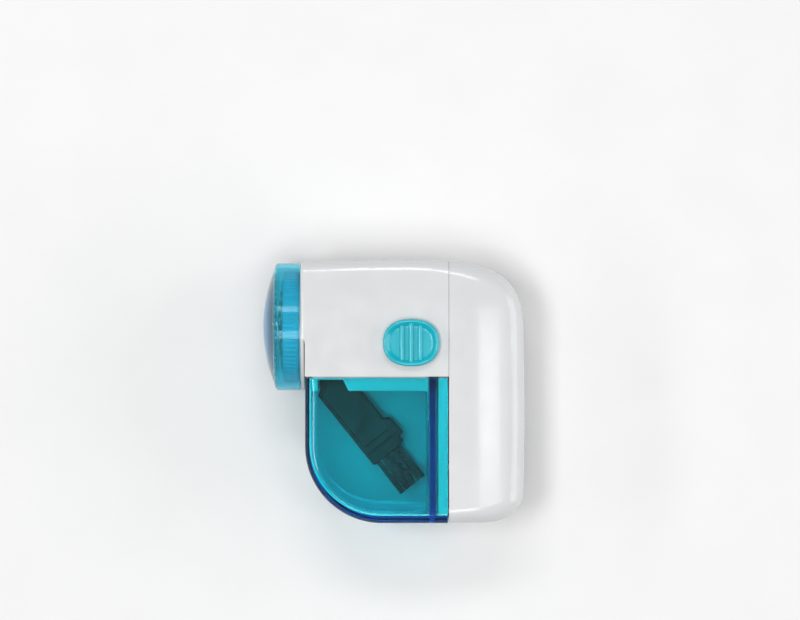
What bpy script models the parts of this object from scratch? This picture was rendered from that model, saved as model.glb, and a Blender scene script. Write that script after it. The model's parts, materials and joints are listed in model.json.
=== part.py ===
"""Battery fabric shaver: a pistol-shaped housing with a round shaving head, a clear lint bin that
holds a loose cleaning brush, a slide switch, and a battery cover that forms the handle.

It lies on its rear face. +X runs from the shaving head to the handle, +Y from the bin to the
barrel, +Z out of the face with the switch. The origin is at the middle of the rear face.
Every size is written in millimetres and scaled to metres by mm().
"""

import math

import bmesh
import bpy

MM = 0.001

# overall
DEPTH = 40.0
HALF = DEPTH / 2
WALL = 1.6
GAP = 0.3
EDGE = 3.6                      # rounding of the long edges

# where the pieces part
SEAM_X = 17.1                   # body to battery cover
BARREL_LEFT = -28.5
STEP_LEFT = -27.1               # the body's left edge below the head's axis
BARREL_BOTTOM = 4.6
BOTTOM = -40.5
CAVITY_LEFT = -26.9

# shaving head, measured forwards from the origin along -X
HEAD_Y = 19.8
HEAD_Z = HALF
COLLAR_RADIUS = 19.7
COLLAR_BACK, COLLAR_FRONT = 27.4, 28.5
SPIGOT_RADIUS, SPIGOT_FRONT = 18.1, 29.1
BORE_RADIUS = 16.9
CAP_RIM, CAP_TIP = 28.8, 40.5
CAP_RADIUS, CAP_WALL = 19.8, 1.4
CAP_SHOULDER, CAP_DOME_EDGE = 35.5, 37.1
CAP_DOME_RADIUS = 17.4
CAP_INNER_END = 36.4
RING_BACK, RING_FRONT = 29.4, 34.0
RING_TIP, RING_ROOT, RING_BORE = 17.4, 17.05, 16.7
RING_RIBS = 72
FOIL_RADIUS, FOIL_RISE, FOIL_SHEET = 16.4, 2.0, 0.3
BLADE_PLATE, BLADE_SHEET, BLADE_REACH = 33.5, 0.4, 15.2
HUB_BACK, HUB_FRONT, HUB_RADIUS = 29.6, 33.2, 4.0
SHAFT_RADIUS, SHAFT_TIP, SHAFT_TAIL = 1.0, 31.6, -4.6
RUNNING = 0.1                   # radial clearance on the shaft

# motor
MOTOR_FRONT, MOTOR_BACK, MOTOR_TAIL = 19.0, -1.2, -6.0
MOTOR_RADIUS, MOTOR_FLAT = 10.05, 7.55

# lint bin
BIN_RIGHT, BIN_TOP = 16.8, 4.1
BIN_ARC = 23.7
BIN_FLOOR = 2.3
BIN_WALL_LEFT, BIN_WALL_RIGHT = 11.3, 13.0

# battery compartment
SPINE_LEFT, SPINE_RIGHT = 13.9, 16.7
SHELF_TOP, SHELF_BOTTOM = 19.0, -36.0
SHELF_THICK = 1.6
CELL_RADIUS, CELL_LENGTH = 7.25, 50.5
CELL_X = 28.3
CELL_Z = (12.5, 27.5)

# switch
KNOB_X, KNOB_Y = 5.5, 15.0
KNOB_LENGTH, KNOB_WIDTH, KNOB_HEIGHT = 17.4, 14.6, 3.0
SWITCH_TRAVEL = 4.0

SCREW_PLACES = ((-21.5, 36.3), (9.5, 36.3), (10.2, 8.4), (-8.0, 8.4))

# brush
BRUSH_PLACE = (-17.13, -0.9, 3.95)
BRUSH_TURN, BRUSH_TILT = -51.35, 2.8
BRUSH_WIDTH, BRUSH_THICK = 11.7, 3.2
BRUSH_END = 25.0
TUFTS, TUFT_LENGTH, TUFT_PITCH = 5, 12.0, 1.98


def mm(*values):
    """Millimetres to metres, as a tuple."""
    return tuple(v * MM for v in values)


# ---------------------------------------------------------------- scene, materials


def clear_scene():
    for obj in list(bpy.data.objects):
        bpy.data.objects.remove(obj)


def new_collection(name):
    found = bpy.data.collections.new(name)
    bpy.context.scene.collection.children.link(found)
    return found


def plastic(name, colour, roughness, alpha=1.0, metallic=0.0):
    mat = bpy.data.materials.new(name)
    mat.use_nodes = True
    shader = mat.node_tree.nodes["Principled BSDF"]
    shader.inputs["Base Color"].default_value = (*colour, 1.0)
    shader.inputs["Roughness"].default_value = roughness
    shader.inputs["Metallic"].default_value = metallic
    shader.inputs["Alpha"].default_value = alpha
    return mat


def metal(name, colour, roughness):
    return plastic(name, colour, roughness, metallic=1.0)


# ---------------------------------------------------------------- shapes


def link(obj, group):
    for old in list(obj.users_collection):
        old.objects.unlink(obj)
    group.objects.link(obj)


def part(obj, name, mat, parent=None, smooth=True):
    """Makes obj a sub-part of the shaver, in its own material."""
    obj.name = name
    obj.data.name = name
    link(obj, parts)
    obj.data.materials.clear()
    obj.data.materials.append(mat)
    if parent:
        obj.parent = parent
    if smooth:
        obj.data.shade_smooth()
        obj.data.set_sharp_from_angle(angle=math.radians(35))
    return obj


def guide(obj, name, parent=None):
    """Makes obj a cutter or a piece to be joined on, which the model leaves out."""
    obj.name = name
    link(obj, cutters)
    obj.hide_render = True
    obj.display_type = "WIRE"
    if parent:
        obj.parent = parent
    return obj


def boolean(obj, other, operation):
    mod = obj.modifiers.new(other.name, "BOOLEAN")
    mod.object = other
    mod.operation = operation
    mod.solver = "EXACT"
    return obj


def cut(obj, *others):
    for other in others:
        boolean(obj, other, "DIFFERENCE")
    return obj


def join(obj, *others):
    for other in others:
        boolean(obj, other, "UNION")
    return obj


def keep(obj, other):
    return boolean(obj, other, "INTERSECT")


def box(low, high):
    """A box between two corners given in millimetres."""
    bpy.ops.mesh.primitive_cube_add(size=1)
    obj = bpy.context.object
    for vert in obj.data.vertices:
        vert.co = mm(*((a + b) / 2 + c * (b - a) for a, b, c in zip(low, high, vert.co)))
    return obj


def cylinder(radius, base, length, axis="Z", vertices=24):
    """A cylinder from base, given in millimetres, along +X, +Y or +Z."""
    bpy.ops.mesh.primitive_cylinder_add(radius=radius * MM, depth=length * MM, vertices=vertices)
    obj = bpy.context.object
    for vert in obj.data.vertices:
        x, y, z = vert.co
        z += length * MM / 2
        turned_to = {"X": (z, x, y), "Y": (y, z, x), "Z": (x, y, z)}[axis]
        vert.co = [a + b * MM for a, b in zip(turned_to, base)]
    return obj


def mesh_of(obj):
    """Turns a curve into a welded mesh object in the same place."""
    graph = bpy.context.evaluated_depsgraph_get()
    mesh = bpy.data.meshes.new_from_object(obj.evaluated_get(graph))
    shape = bmesh.new()
    shape.from_mesh(mesh)
    bmesh.ops.remove_doubles(shape, verts=shape.verts, dist=0.000002)
    shape.to_mesh(mesh)
    shape.free()
    made = bpy.data.objects.new(obj.name, mesh)
    bpy.context.scene.collection.objects.link(made)
    made.matrix_world = obj.matrix_world.copy()
    bpy.data.objects.remove(obj)
    return made


def slab(outlines, low, high, edge=0.0, offset=0.0, edge_steps=3):
    """A flat outline, with any holes, drawn in XY and raised from low to high.

    Each outline is a list of (x, y). edge rounds its long edges, and offset moves it inwards."""
    data = bpy.data.curves.new("outline", "CURVE")
    data.dimensions = "2D"
    data.fill_mode = "BOTH"
    data.extrude = (high - low - 2 * edge) / 2 * MM
    data.bevel_depth = edge * MM
    data.bevel_resolution = edge_steps
    data.offset = -(edge + offset) * MM
    for points in outlines:
        spline = data.splines.new("POLY")
        spline.points.add(len(points) - 1)
        for point, (x, y) in zip(spline.points, points):
            point.co = (*mm(x, y), 0.0, 1.0)
        spline.use_cyclic_u = True
    obj = bpy.data.objects.new("outline", data)
    bpy.context.scene.collection.objects.link(obj)
    bpy.context.view_layer.update()
    made = mesh_of(obj)
    for vert in made.data.vertices:
        vert.co.z += (low + high) / 2 * MM
    return made


def turned(profile, steps=40):
    """A closed (radius, height) profile turned about Z. It runs down its outer side, then up inside."""
    mesh = bpy.data.meshes.new("turned")
    verts = [mm(radius, 0, height) for radius, height in profile]
    count = len(verts)
    on_axis = profile[0][0] == 0 and profile[-1][0] == 0
    edges = [(i, i + 1) for i in range(count - 1)]
    if not on_axis:
        edges.append((count - 1, 0))
    mesh.from_pydata(verts, edges, [])
    obj = bpy.data.objects.new("turned", mesh)
    bpy.context.scene.collection.objects.link(obj)
    mod = obj.modifiers.new("turn", "SCREW")
    mod.steps = steps
    mod.render_steps = steps
    mod.use_merge_vertices = True
    mod.merge_threshold = 0.000002
    return obj


def wire(points, radius, cyclic=False):
    """A round wire along points given in millimetres."""
    data = bpy.data.curves.new("wire", "CURVE")
    data.dimensions = "3D"
    data.bevel_depth = radius * MM
    data.bevel_resolution = 2
    data.use_fill_caps = True
    spline = data.splines.new("POLY")
    spline.points.add(len(points) - 1)
    for point, place in zip(spline.points, points):
        point.co = (*mm(*place), 1.0)
    spline.use_cyclic_u = cyclic
    obj = bpy.data.objects.new("wire", data)
    bpy.context.scene.collection.objects.link(obj)
    bpy.context.view_layer.update()
    return mesh_of(obj)


def arc(centre, radius, start, end, steps):
    """Points on an arc, from start to end in degrees."""
    angles = (math.radians(start + (end - start) * i / steps) for i in range(steps + 1))
    return [(centre[0] + radius * math.cos(a), centre[1] + radius * math.sin(a)) for a in angles]


def bezier(start, first, second, end, steps):
    """Points on a cubic curve after start."""
    points = []
    for i in range(1, steps + 1):
        t = i / steps
        a, b, c, d = (1 - t) ** 3, 3 * t * (1 - t) ** 2, 3 * t * t * (1 - t), t**3
        points.append(tuple(a * p + b * q + c * r + d * s
                            for p, q, r, s in zip(start, first, second, end)))
    return points


def helix(radius_low, radius_high, low, high, turns, per_turn=12):
    """Points of a coil about Z, from one radius to another."""
    count = int(turns * per_turn)
    points = []
    for i in range(count + 1):
        share = i / count
        angle = 2 * math.pi * turns * share
        radius = radius_low + (radius_high - radius_low) * share
        points.append((radius * math.cos(angle), radius * math.sin(angle),
                       low + (high - low) * share))
    return points


def empty(name, place, rotation=(0, 0, 0)):
    obj = bpy.data.objects.new(name, None)
    obj.location = mm(*place)
    obj.rotation_euler = [math.radians(a) for a in rotation]
    parts.objects.link(obj)
    return obj


def smooth_path(points, steps=5):
    """Points on a smooth curve through the given points."""
    ends = [points[0], *points, points[-1]]
    path = []
    for i in range(1, len(ends) - 2):
        p0, p1, p2, p3 = ends[i - 1:i + 3]
        for k in range(steps):
            t = k / steps
            path.append(tuple(0.5 * (2 * b + (c - a) * t + (2 * a - 5 * b + 4 * c - d) * t * t
                                     + (3 * b - a - 3 * c + d) * t**3)
                              for a, b, c, d in zip(p0, p1, p2, p3)))
    return path + [points[-1]]


# ---------------------------------------------------------------- housing


def silhouette():
    """The outline that the body and the battery cover share, carried past the head and the bin."""
    crown, side = (4.5, 40.5), (40.2, 18.0)
    bulge, turn = (40.5, -5.0), (40.1, -31.0)
    points = [(-34.0, BOTTOM), (-34.0, 39.5), (-14.7, 40.25), crown]
    points += bezier(crown, (31.0, 40.6), (40.2, 36.5), side, 16)
    points += bezier(side, (40.3, 8.0), (40.5, 2.0), bulge, 2)
    points += bezier(bulge, (40.5, -16.0), (40.4, -24.0), turn, 2)
    points += bezier(turn, (39.9, -36.4), (35.6, BOTTOM), (27.0, BOTTOM), 10)
    return points


def form(inset=0.0):
    """The shared outer form, or its hollow when it is inset by the wall."""
    return slab([silhouette()], inset, DEPTH - inset, edge=EDGE - inset, offset=inset)


def body_region(low, high):
    """What the barrel covers: its left edge steps back below the head's axis."""
    step = bezier((BARREL_LEFT, 18.8), (BARREL_LEFT, 16.2), (STEP_LEFT, 16.6), (STEP_LEFT, 14.2), 6)
    right = SEAM_X - GAP / 2
    points = [(right, BARREL_BOTTOM), (right, 60), (BARREL_LEFT, 60), (BARREL_LEFT, 18.8), *step,
              (STEP_LEFT, BARREL_BOTTOM)]
    return guide(slab([points], low, high), "barrel_region")


def head_collar(low, high):
    """The round collar that the head sits on, and the spigot that the cap grips."""
    bore, web = BORE_RADIUS, COLLAR_RADIUS
    profile = [(SPIGOT_RADIUS, SPIGOT_FRONT), (SPIGOT_RADIUS, COLLAR_FRONT), (web, COLLAR_FRONT),
               (web, COLLAR_BACK), (bore, COLLAR_BACK), (bore, SPIGOT_FRONT)]
    ring = guide(turned(profile), "head_collar", head_axis)
    return keep(ring, guide(box((-32, -2, low), (-20, 42, high)), "collar_half"))


def shell_hollow():
    hollow = guide(form(WALL), "barrel_hollow")
    room = guide(box((CAVITY_LEFT, BARREL_BOTTOM + WALL, -5), (60, 60, 45)), "barrel_room")
    return keep(hollow, room)


def bosses(shell, low, high, radius):
    for x, y in SCREW_PLACES:
        join(shell, guide(cylinder(radius, (x, y, low), high - low, vertices=16), "screw_boss"))


def skirt(shell, low, high, face_low, face_high):
    """The lip below the barrel that plugs into the bin's mouth."""
    left, right, drop, top, thick = -24.9, 11.0, 0.2, BARREL_BOTTOM + 0.8, 1.4
    join(shell,
         guide(box((left, drop, face_low), (right, top, face_high)), "skirt_face"),
         guide(box((left, drop, low), (left + thick, top, high)), "skirt_left"),
         guide(box((right - thick, drop, low), (right, top, high)), "skirt_right"))


def lint_port(shell):
    cut(shell, guide(box((-23.2, BARREL_BOTTOM - 1, 3.6), (-13.0, 8, 36.4)), "lint_port"))


def spine_port(shell):
    """Where the battery chassis leaves the barrel."""
    cut(shell, guide(box((SPINE_LEFT - GAP, 0, 1.5), (30, 8, 38.5)), "spine_port"))


def front_shell():
    low = HALF + GAP / 2
    shell = part(form(), "front_shell", WHITE)
    keep(shell, body_region(low, DEPTH + 1))
    cut(shell, shell_hollow())
    cut(shell, guide(cylinder(BORE_RADIUS, (-40, HEAD_Y, HEAD_Z), 14, "X", 48), "head_bore"))
    join(shell, head_collar(low, DEPTH + 1))
    skirt(shell, low + 0.1, 37.5, 36.6, 38.0)
    bosses(shell, low + 0.4, DEPTH - 1.0, 2.4)
    for x in (-14.0, -8.0):
        join(shell, guide(box((x, 12.5, 30.6), (x + WALL, 27.0, 39.0)), "motor_rib"))
    notch = [(-23.2, -2), (-23.2, 3.6), (-15.4, 3.6), (-13.7, 0.2), (-13.0, -2)]
    cut(shell, guide(slab([notch], 34, 39), "skirt_notch"))
    lint_port(shell)
    spine_port(shell)
    slot = (KNOB_X - 1.5 - SWITCH_TRAVEL - 0.4, KNOB_Y - 1.5, 35)
    cut(shell, guide(box(slot, (KNOB_X + 1.9, KNOB_Y + 1.5, 45)), "switch_slot"))
    for x, y in SCREW_PLACES:
        cut(shell, guide(cylinder(1.2, (x, y, 10), 24, vertices=12), "pilot_hole"))


def rear_shell():
    high = HALF - GAP / 2
    shell = part(form(), "rear_shell", WHITE)
    keep(shell, body_region(-1, high))
    cut(shell, shell_hollow())
    cut(shell, guide(cylinder(BORE_RADIUS, (-40, HEAD_Y, HEAD_Z), 14, "X", 48), "head_bore"))
    join(shell, head_collar(-1, high))
    skirt(shell, 2.5, high - 0.1, 2.0, 3.4)
    bosses(shell, 1.0, high - 0.4, 3.2)
    for x in (-14.0, -2.0):
        join(shell, guide(box((x, 12.5, 1.0), (x + WALL, 27.0, 9.4)), "motor_rib"))
    lint_port(shell)
    spine_port(shell)
    for x, y in SCREW_PLACES:
        cut(shell, guide(cylinder(2.4, (x, y, -1), 9.5, vertices=16), "head_recess"),
            guide(cylinder(1.35, (x, y, -1), 24, vertices=12), "clearance_hole"))


def housing_screws():
    """Self-tapping screws, driven in from the rear face."""
    profile = [(0, 30.0), (0.6, 29.2), (1.0, 28.0), (1.0, 8.2), (2.1, 8.2), (2.1, 7.2), (1.6, 6.5),
               (0, 6.4)]
    for i, (x, y) in enumerate(SCREW_PLACES):
        screw = part(turned(profile, 12), f"housing_screw_{i + 1}", STEEL)
        screw.location = mm(x, y, 0)


def lint_chute():
    """The blade chamber and the scoop that drops lint through the barrel's floor."""
    thick, low, high, top = 1.2, 5.5, 34.5, 32.4
    left, back, floor = -26.6, -19.9, BARREL_BOTTOM + WALL + GAP
    outer = [(left, floor), (-12.2, floor), (-12.2, floor + 0.9), (-14.0, floor + 1.2),
             (back, 11.0), (back, top), (left, top)]
    inner = [(left - 5, floor - 5), (-13.4, floor - 5), (-13.4, floor + 0.1),
             (back - thick, 10.4), (back - thick, top - thick), (left - 5, top - thick)]
    chute = part(slab([outer], low, high), "lint_chute", WHITE)
    cut(chute, guide(slab([inner], low + thick, high - thick), "chute_room"))
    cut(chute, guide(cylinder(4.4, (-25, HEAD_Y, HEAD_Z), 10, "X"), "motor_nose_hole"))


# ---------------------------------------------------------------- shaving head


def dome(radius, rise, top, steps):
    """(radius, height) points on a shallow dome, from its middle to its rim."""
    sphere = (radius**2 + rise**2) / (2 * rise)
    points = []
    for i in range(steps + 1):
        r = radius * i / steps
        points.append((r, top - sphere + math.sqrt(sphere**2 - r**2)))
    return points


def protective_cap():
    inner = CAP_RADIUS - CAP_WALL
    profile = dome(CAP_DOME_RADIUS, CAP_TIP - CAP_DOME_EDGE, CAP_TIP, 5)
    profile += bezier(profile[-1], (18.6, 36.85), (CAP_RADIUS, 36.5), (CAP_RADIUS, CAP_SHOULDER), 4)
    profile += [(CAP_RADIUS, CAP_RIM), (inner, CAP_RIM), (inner, CAP_INNER_END - 0.8),
                (inner - 0.8, CAP_INNER_END), (0, CAP_INNER_END)]
    part(turned(profile), "protective_cap", PALE_BLUE, head_axis)


def foil_ring():
    """A ribbed grip ring with a plain sleeve behind it that turns in the collar."""
    count = RING_RIBS * 2
    rim = []
    for i in range(count):
        radius = RING_ROOT if i % 2 else RING_TIP
        angle = 2 * math.pi * i / count
        rim.append((radius * math.cos(angle), radius * math.sin(angle)))
    bore = arc((0, 0), RING_BORE, 0, 351, 39)
    ring = part(slab([rim, bore], RING_BACK, RING_FRONT), "foil_ring", CYAN, head_axis)
    sleeve_profile = [(16.6, RING_BACK + 0.6), (16.6, COLLAR_BACK + GAP), (15.4, COLLAR_BACK + GAP),
                      (15.4, RING_BACK + 0.4), (16.0, RING_BACK + 0.6)]
    sleeve = guide(turned(sleeve_profile), "ring_sleeve", head_axis)
    web_profile = [(16.9, RING_BACK + 0.6), (16.9, RING_BACK), (16.0, RING_BACK),
                   (16.0, RING_BACK + 0.6)]
    join(ring, sleeve, guide(turned(web_profile), "ring_web", head_axis))


def foil_screen():
    """The thin perforated shaving foil, here without its holes."""
    top = RING_FRONT + FOIL_RISE
    outer = dome(FOIL_RADIUS, FOIL_RISE, top, 5)
    inner = dome(FOIL_RADIUS - FOIL_SHEET, FOIL_RISE - 0.05, top - FOIL_SHEET, 5)
    back = RING_BACK + 1.6
    profile = outer + [(FOIL_RADIUS, back), (FOIL_RADIUS - FOIL_SHEET, back)] + inner[::-1]
    part(turned(profile), "foil_screen", STEEL, head_axis)


def foil_clamp():
    """The inner ring that holds the foil in the grip ring."""
    profile = [(15.8, 33.0), (15.8, 30.4), (15.3, 30.4), (15.3, 33.0)]
    part(turned(profile), "foil_clamp", WHITE, head_axis)


def d_outline(radius, flat):
    """A circle with one flat, as on a D-shaft."""
    start = math.degrees(math.acos(flat / radius))
    return arc((0, 0), radius, start, 360 - start, 16)


def blade_hub():
    hub = part(cylinder(HUB_RADIUS, (0, 0, HUB_BACK), HUB_FRONT - HUB_BACK), "blade_hub", WHITE,
               blade_axis)
    bore = slab([d_outline(SHAFT_RADIUS + RUNNING, 0.75 + RUNNING)], HUB_BACK - 1, HUB_FRONT - 0.2)
    cut(hub, guide(bore, "hub_bore", blade_axis))
    seat = cylinder(2.9, (0, 0, HUB_BACK - 1), 2.0)
    cut(hub, guide(seat, "spring_seat", blade_axis))


def cutter_blade():
    """A stamped plate with three arms, each with an upright edge that follows the foil."""
    outline = []
    for arm in range(3):
        middle = 120 * arm
        outline += arc((0, 0), 4.4, middle - 60, middle - 34, 3)
        for reach, side in ((BLADE_REACH, -7), (BLADE_REACH, 5)):
            angle = math.radians(middle + side)
            outline.append((reach * math.cos(angle), reach * math.sin(angle)))
        outline += arc((0, 0), 4.4, middle + 34, middle + 50, 2)
    hole = arc((0, 0), 1.3, 0, 337.5, 15)
    low = BLADE_PLATE - BLADE_SHEET / 2
    blade = part(slab([outline, hole], low, low + BLADE_SHEET), "cutter_blade", STEEL, blade_axis)
    crown = dome(FOIL_RADIUS, FOIL_RISE, RING_FRONT + FOIL_RISE - FOIL_SHEET - GAP, 8)
    edge = [p for p in crown if 3.0 < p[0] < BLADE_REACH]
    outline = [(edge[0][0], BLADE_PLATE), (edge[-1][0] + 0.4, BLADE_PLATE),
               (edge[-1][0] + 0.4, edge[-1][1]), *edge[::-1]]
    for arm in range(3):
        fin = slab([outline], -BLADE_SHEET / 2, BLADE_SHEET / 2)
        for vert in fin.data.vertices:
            x, y, z = vert.co
            vert.co = (x, -z, y)
        guide(fin, "cutting_edge", blade_axis)
        fin.rotation_euler = (0, 0, math.radians(120 * arm))
        join(blade, fin)


def blade_spring():
    points = helix(2.1, 2.1, 25.1, HUB_BACK + 0.55, 4.5, 10)
    part(wire(points, 0.2), "blade_spring", STEEL, rotor_axis)


def drive_shaft():
    shaft = part(cylinder(SHAFT_RADIUS, (0, 0, SHAFT_TAIL), SHAFT_TIP - SHAFT_TAIL), "drive_shaft",
                 STEEL, rotor_axis)
    cut(shaft, guide(box((0.75, -2, 26.5), (2, 2, 40)), "shaft_flat", rotor_axis))
    collar = [(2.7, 24.8), (2.7, 24.0), (SHAFT_RADIUS + RUNNING, 24.0), (SHAFT_RADIUS + RUNNING, 24.8)]
    part(turned(collar, 24), "shaft_collar", WHITE, rotor_axis)


# ---------------------------------------------------------------- motor


def flat_sided(radius, flat):
    """A circle with two flats, across Y."""
    reach = math.degrees(math.asin(flat / radius))
    return arc((0, 0), radius, -reach, reach, 8) + arc((0, 0), radius, 180 - reach, 180 + reach, 8)


def motor():
    can = part(slab([flat_sided(MOTOR_RADIUS, MOTOR_FLAT)], MOTOR_BACK, MOTOR_FRONT), "motor_can",
               STEEL, head_axis)
    room = slab([flat_sided(MOTOR_RADIUS - 0.5, MOTOR_FLAT - 0.5)], MOTOR_BACK - 1, MOTOR_FRONT - 0.6)
    cut(can, guide(room, "can_room", head_axis),
        guide(cylinder(1.6, (0, 0, MOTOR_FRONT - 2), 4), "can_hole", head_axis))
    bearing = [(3.0, MOTOR_FRONT + 1.9), (3.0, MOTOR_FRONT + GAP), (1.1, MOTOR_FRONT + GAP),
               (1.1, MOTOR_FRONT + 1.9)]
    part(turned(bearing, 24), "motor_bearing", BRASS, head_axis)
    end = part(slab([flat_sided(MOTOR_RADIUS, MOTOR_FLAT)], MOTOR_TAIL, MOTOR_BACK - GAP),
               "motor_end_cap", BLACK, head_axis)
    cut(end, guide(cylinder(6.2, (0, 0, MOTOR_BACK - 3.2), 4, vertices=20), "brush_room", head_axis),
        guide(cylinder(1.2, (0, 0, MOTOR_TAIL + 0.8), 8), "tail_bore", head_axis))
    for i, side in enumerate((0, 180)):
        outline = arc((0, 0), 9.2, side - 44, side + 44, 6) + arc((0, 0), 7.2, side + 44, side - 44, 6)
        part(slab([outline], 2.0, 16.0), f"motor_magnet_{i + 1}", FERRITE, head_axis)
        x = 7.0 if side else -7.0
        tab = part(box((x - 1.2, -0.3, MOTOR_TAIL - 3.0), (x + 1.2, 0.3, MOTOR_TAIL - GAP)),
                   f"motor_terminal_{i + 1}", BRASS, head_axis)
        tab.data.shade_flat()
    armature_core()


def armature_core():
    """Three poles on the shaft, with a wire slot between each two."""
    outline = []
    for pole in range(3):
        middle = 120 * pole
        outline += arc((0, 0), 6.5, middle - 50, middle + 50, 6)
        outline += arc((0, 0), 2.6, middle + 54, middle + 66, 1)
    bore = arc((0, 0), SHAFT_RADIUS + RUNNING, 0, 337.5, 15)
    part(slab([outline, bore], 3.5, 14.5), "motor_armature", COPPER, rotor_axis)


# ---------------------------------------------------------------- switch


def superellipse(length, width, power, steps):
    points = []
    for i in range(steps):
        angle = 2 * math.pi * (i + 0.5) / steps
        c, s = math.cos(angle), math.sin(angle)
        points.append((length / 2 * math.copysign(abs(c) ** (2 / power), c),
                       width / 2 * math.copysign(abs(s) ** (2 / power), s)))
    return points


def switch_knob():
    """A rounded slider with three grip ribs, on a stem that passes through the face."""
    base = DEPTH + GAP
    top = DEPTH + KNOB_HEIGHT
    outline = superellipse(KNOB_LENGTH, KNOB_WIDTH, 2.3, 36)
    knob = part(slab([outline], base, top, edge=0.8, edge_steps=1), "switch_knob", TURQUOISE,
                switch_axis)
    dish = superellipse(KNOB_LENGTH - 3.0, KNOB_WIDTH - 3.0, 2.3, 36)
    cut(knob, guide(slab([dish], top - 0.9, top + 1), "knob_dish", switch_axis))
    for i in range(3):
        x = (i - 1) * 2.8
        reach = 6.3 - 0.6 * abs(i - 1)
        rib = box((x - 0.8, -reach, base + 1), (x + 0.8, reach, top - 0.15))
        join(knob, guide(rib, "knob_rib", switch_axis))
    join(knob, guide(box((-1.5, -1.2, 36.5), (1.5, 1.2, base + 1)), "knob_stem", switch_axis))


def switch_inside():
    """The slider under the face, its sliding contact, and the fixed contacts on their base."""
    carrier = part(box((-6, -3.6, 36.2), (6, 3.6, 38.1)), "switch_carrier", WHITE, switch_axis)
    cut(carrier, guide(box((-1.8, -1.5, 30), (1.8, 1.5, 40)), "carrier_hole", switch_axis))
    strip = [(-4.5, 35.5), (-4.5, 35.9), (4.5, 35.9), (4.5, 35.5), (3.4, 33.5), (2.4, 33.5),
             (1.6, 35.4), (-1.6, 35.4), (-2.4, 33.5), (-3.4, 33.5)]
    bridge = slab([strip], -2.6, 2.6)
    for vert in bridge.data.vertices:
        x, y, z = vert.co
        vert.co = (x, -z, y)
    part(bridge, "switch_bridge", BRASS, switch_axis)
    base = part(box((-6.4, 11.4, 31.0), (13.3, 18.6, 32.2)), "switch_base", BLACK)
    join(base, guide(box((-6.4, 11.4, 31.5), (-5.0, 18.6, 38.1)), "base_post"),
         guide(box((12.0, 11.4, 31.5), (13.3, 18.6, 38.1)), "base_post"))
    for i, (low, high) in enumerate(((-4.4, 2.6), (4.6, 11.4))):
        part(box((low, 12.0, 32.5), (high, 18.0, 32.9)), f"switch_contact_{i + 1}", BRASS)


# ---------------------------------------------------------------- batteries


def battery_chassis():
    """The wall behind the bin with the shelves and saddles that hold two cells."""
    wall = part(box((SPINE_LEFT, -38.0, 1.9), (SPINE_RIGHT, 4.3, 38.1)), "battery_chassis", WHITE)
    join(wall, guide(box((SPINE_LEFT, 4.0, 4.4), (SPINE_RIGHT, 36.0, 35.6)), "wall_top"))
    for name, low in (("top_shelf", SHELF_TOP), ("bottom_shelf", SHELF_BOTTOM - SHELF_THICK)):
        join(wall, guide(box((SPINE_LEFT + 1, low, 4.6), (31.5, low + SHELF_THICK, 35.4)), name))
    for y in (-24.0, 5.0):
        saddle = guide(box((SPINE_LEFT + 1, y, 4.6), (27.0, y + WALL, 35.4)), "cell_saddle")
        for z in CELL_Z:
            room = cylinder(CELL_RADIUS + 0.35, (CELL_X, y - 2, z), 6, "Y", 32)
            cut(saddle, guide(room, "cell_room"))
        join(wall, saddle)


def battery_cells():
    """Two AA cells, head to tail."""
    body, nub, nub_radius = CELL_LENGTH - 1.2, 1.2, 2.75
    profile = [(0, body + nub), (nub_radius, body + nub), (nub_radius, body),
               (CELL_RADIUS - 0.5, body), (CELL_RADIUS, body - 0.5), (CELL_RADIUS, 0.5),
               (CELL_RADIUS - 0.5, 0), (0, 0)]
    places = ((CELL_Z[0], -32.5, -90), (CELL_Z[1], 15.5, 90))
    for i, (z, y, turn) in enumerate(places):
        cell = part(turned(profile, 32), f"battery_cell_{i + 1}", CELL)
        cell.location = mm(CELL_X, y, z)
        cell.rotation_euler = (math.radians(turn), 0, 0)


def contacts():
    """Plates and coned springs at the ends of the cells."""
    top, bottom = SHELF_TOP - GAP, SHELF_BOTTOM + GAP
    sheet = 0.4
    part(box((24.5, top - sheet, 8), (33.0, top, 17)), "positive_plate", STEEL)
    part(box((24.5, top - sheet, 23), (33.0, top, 32)), "negative_plate", STEEL)
    part(box((24.5, bottom, 8), (33.0, bottom + sheet, 32)), "bridge_plate", STEEL)
    springs = (("bridge_spring", (CELL_X, bottom + sheet + GAP, CELL_Z[0]), -90),
               ("negative_spring", (CELL_X, top - sheet - GAP, CELL_Z[1]), 90))
    for name, place, turn in springs:
        coil = part(wire(helix(4.2, 2.0, 0.3, 2.0, 2.5, 10), 0.25), name, STEEL)
        coil.location = mm(*place)
        coil.rotation_euler = (math.radians(turn), 0, 0)


def battery_cover():
    cover = part(form(), "battery_cover", WHITE)
    left = SEAM_X + GAP / 2
    keep(cover, guide(box((left, -60, -5), (60, 60, 45)), "cover_region"))
    cut(cover, guide(form(WALL), "cover_hollow"))


def leads():
    """The three wires, clipped between the switch, the motor and the cells."""
    red = [(24.0, 18.2, 9.0), (22.5, 17.4, 6.0), (20.0, 16.5, 3.2), (17.0, 15.6, 3.0),
           (13.4, 14.6, 3.2), (11.7, 14.0, 7.0), (11.5, 14.0, 15.0), (11.5, 14.0, 24.0),
           (11.0, 14.6, 30.3)]
    black = [(24.0, 18.2, 31.0), (22.6, 17.8, 34.4), (20.0, 19.6, 36.8), (17.0, 25.0, 36.9),
             (13.4, 28.0, 36.6), (11.4, 27.4, 32.0), (11.2, 25.4, 25.0), (10.8, 22.0, 17.0),
             (9.6, 19.8, 13.4)]
    link_wire = [(-3.4, 19.3, 32.7), (-1.2, 21.2, 31.7), (4.0, 22.6, 31.4), (8.6, 21.8, 31.0),
                 (10.4, 20.4, 29.2), (9.6, 19.8, 27.2)]
    for name, path, mat in (("red_lead", red, RED), ("black_lead", black, BLACK),
                            ("motor_lead", link_wire, WHITE)):
        part(wire(smooth_path(path, 4), 0.45), name, mat)


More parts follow.
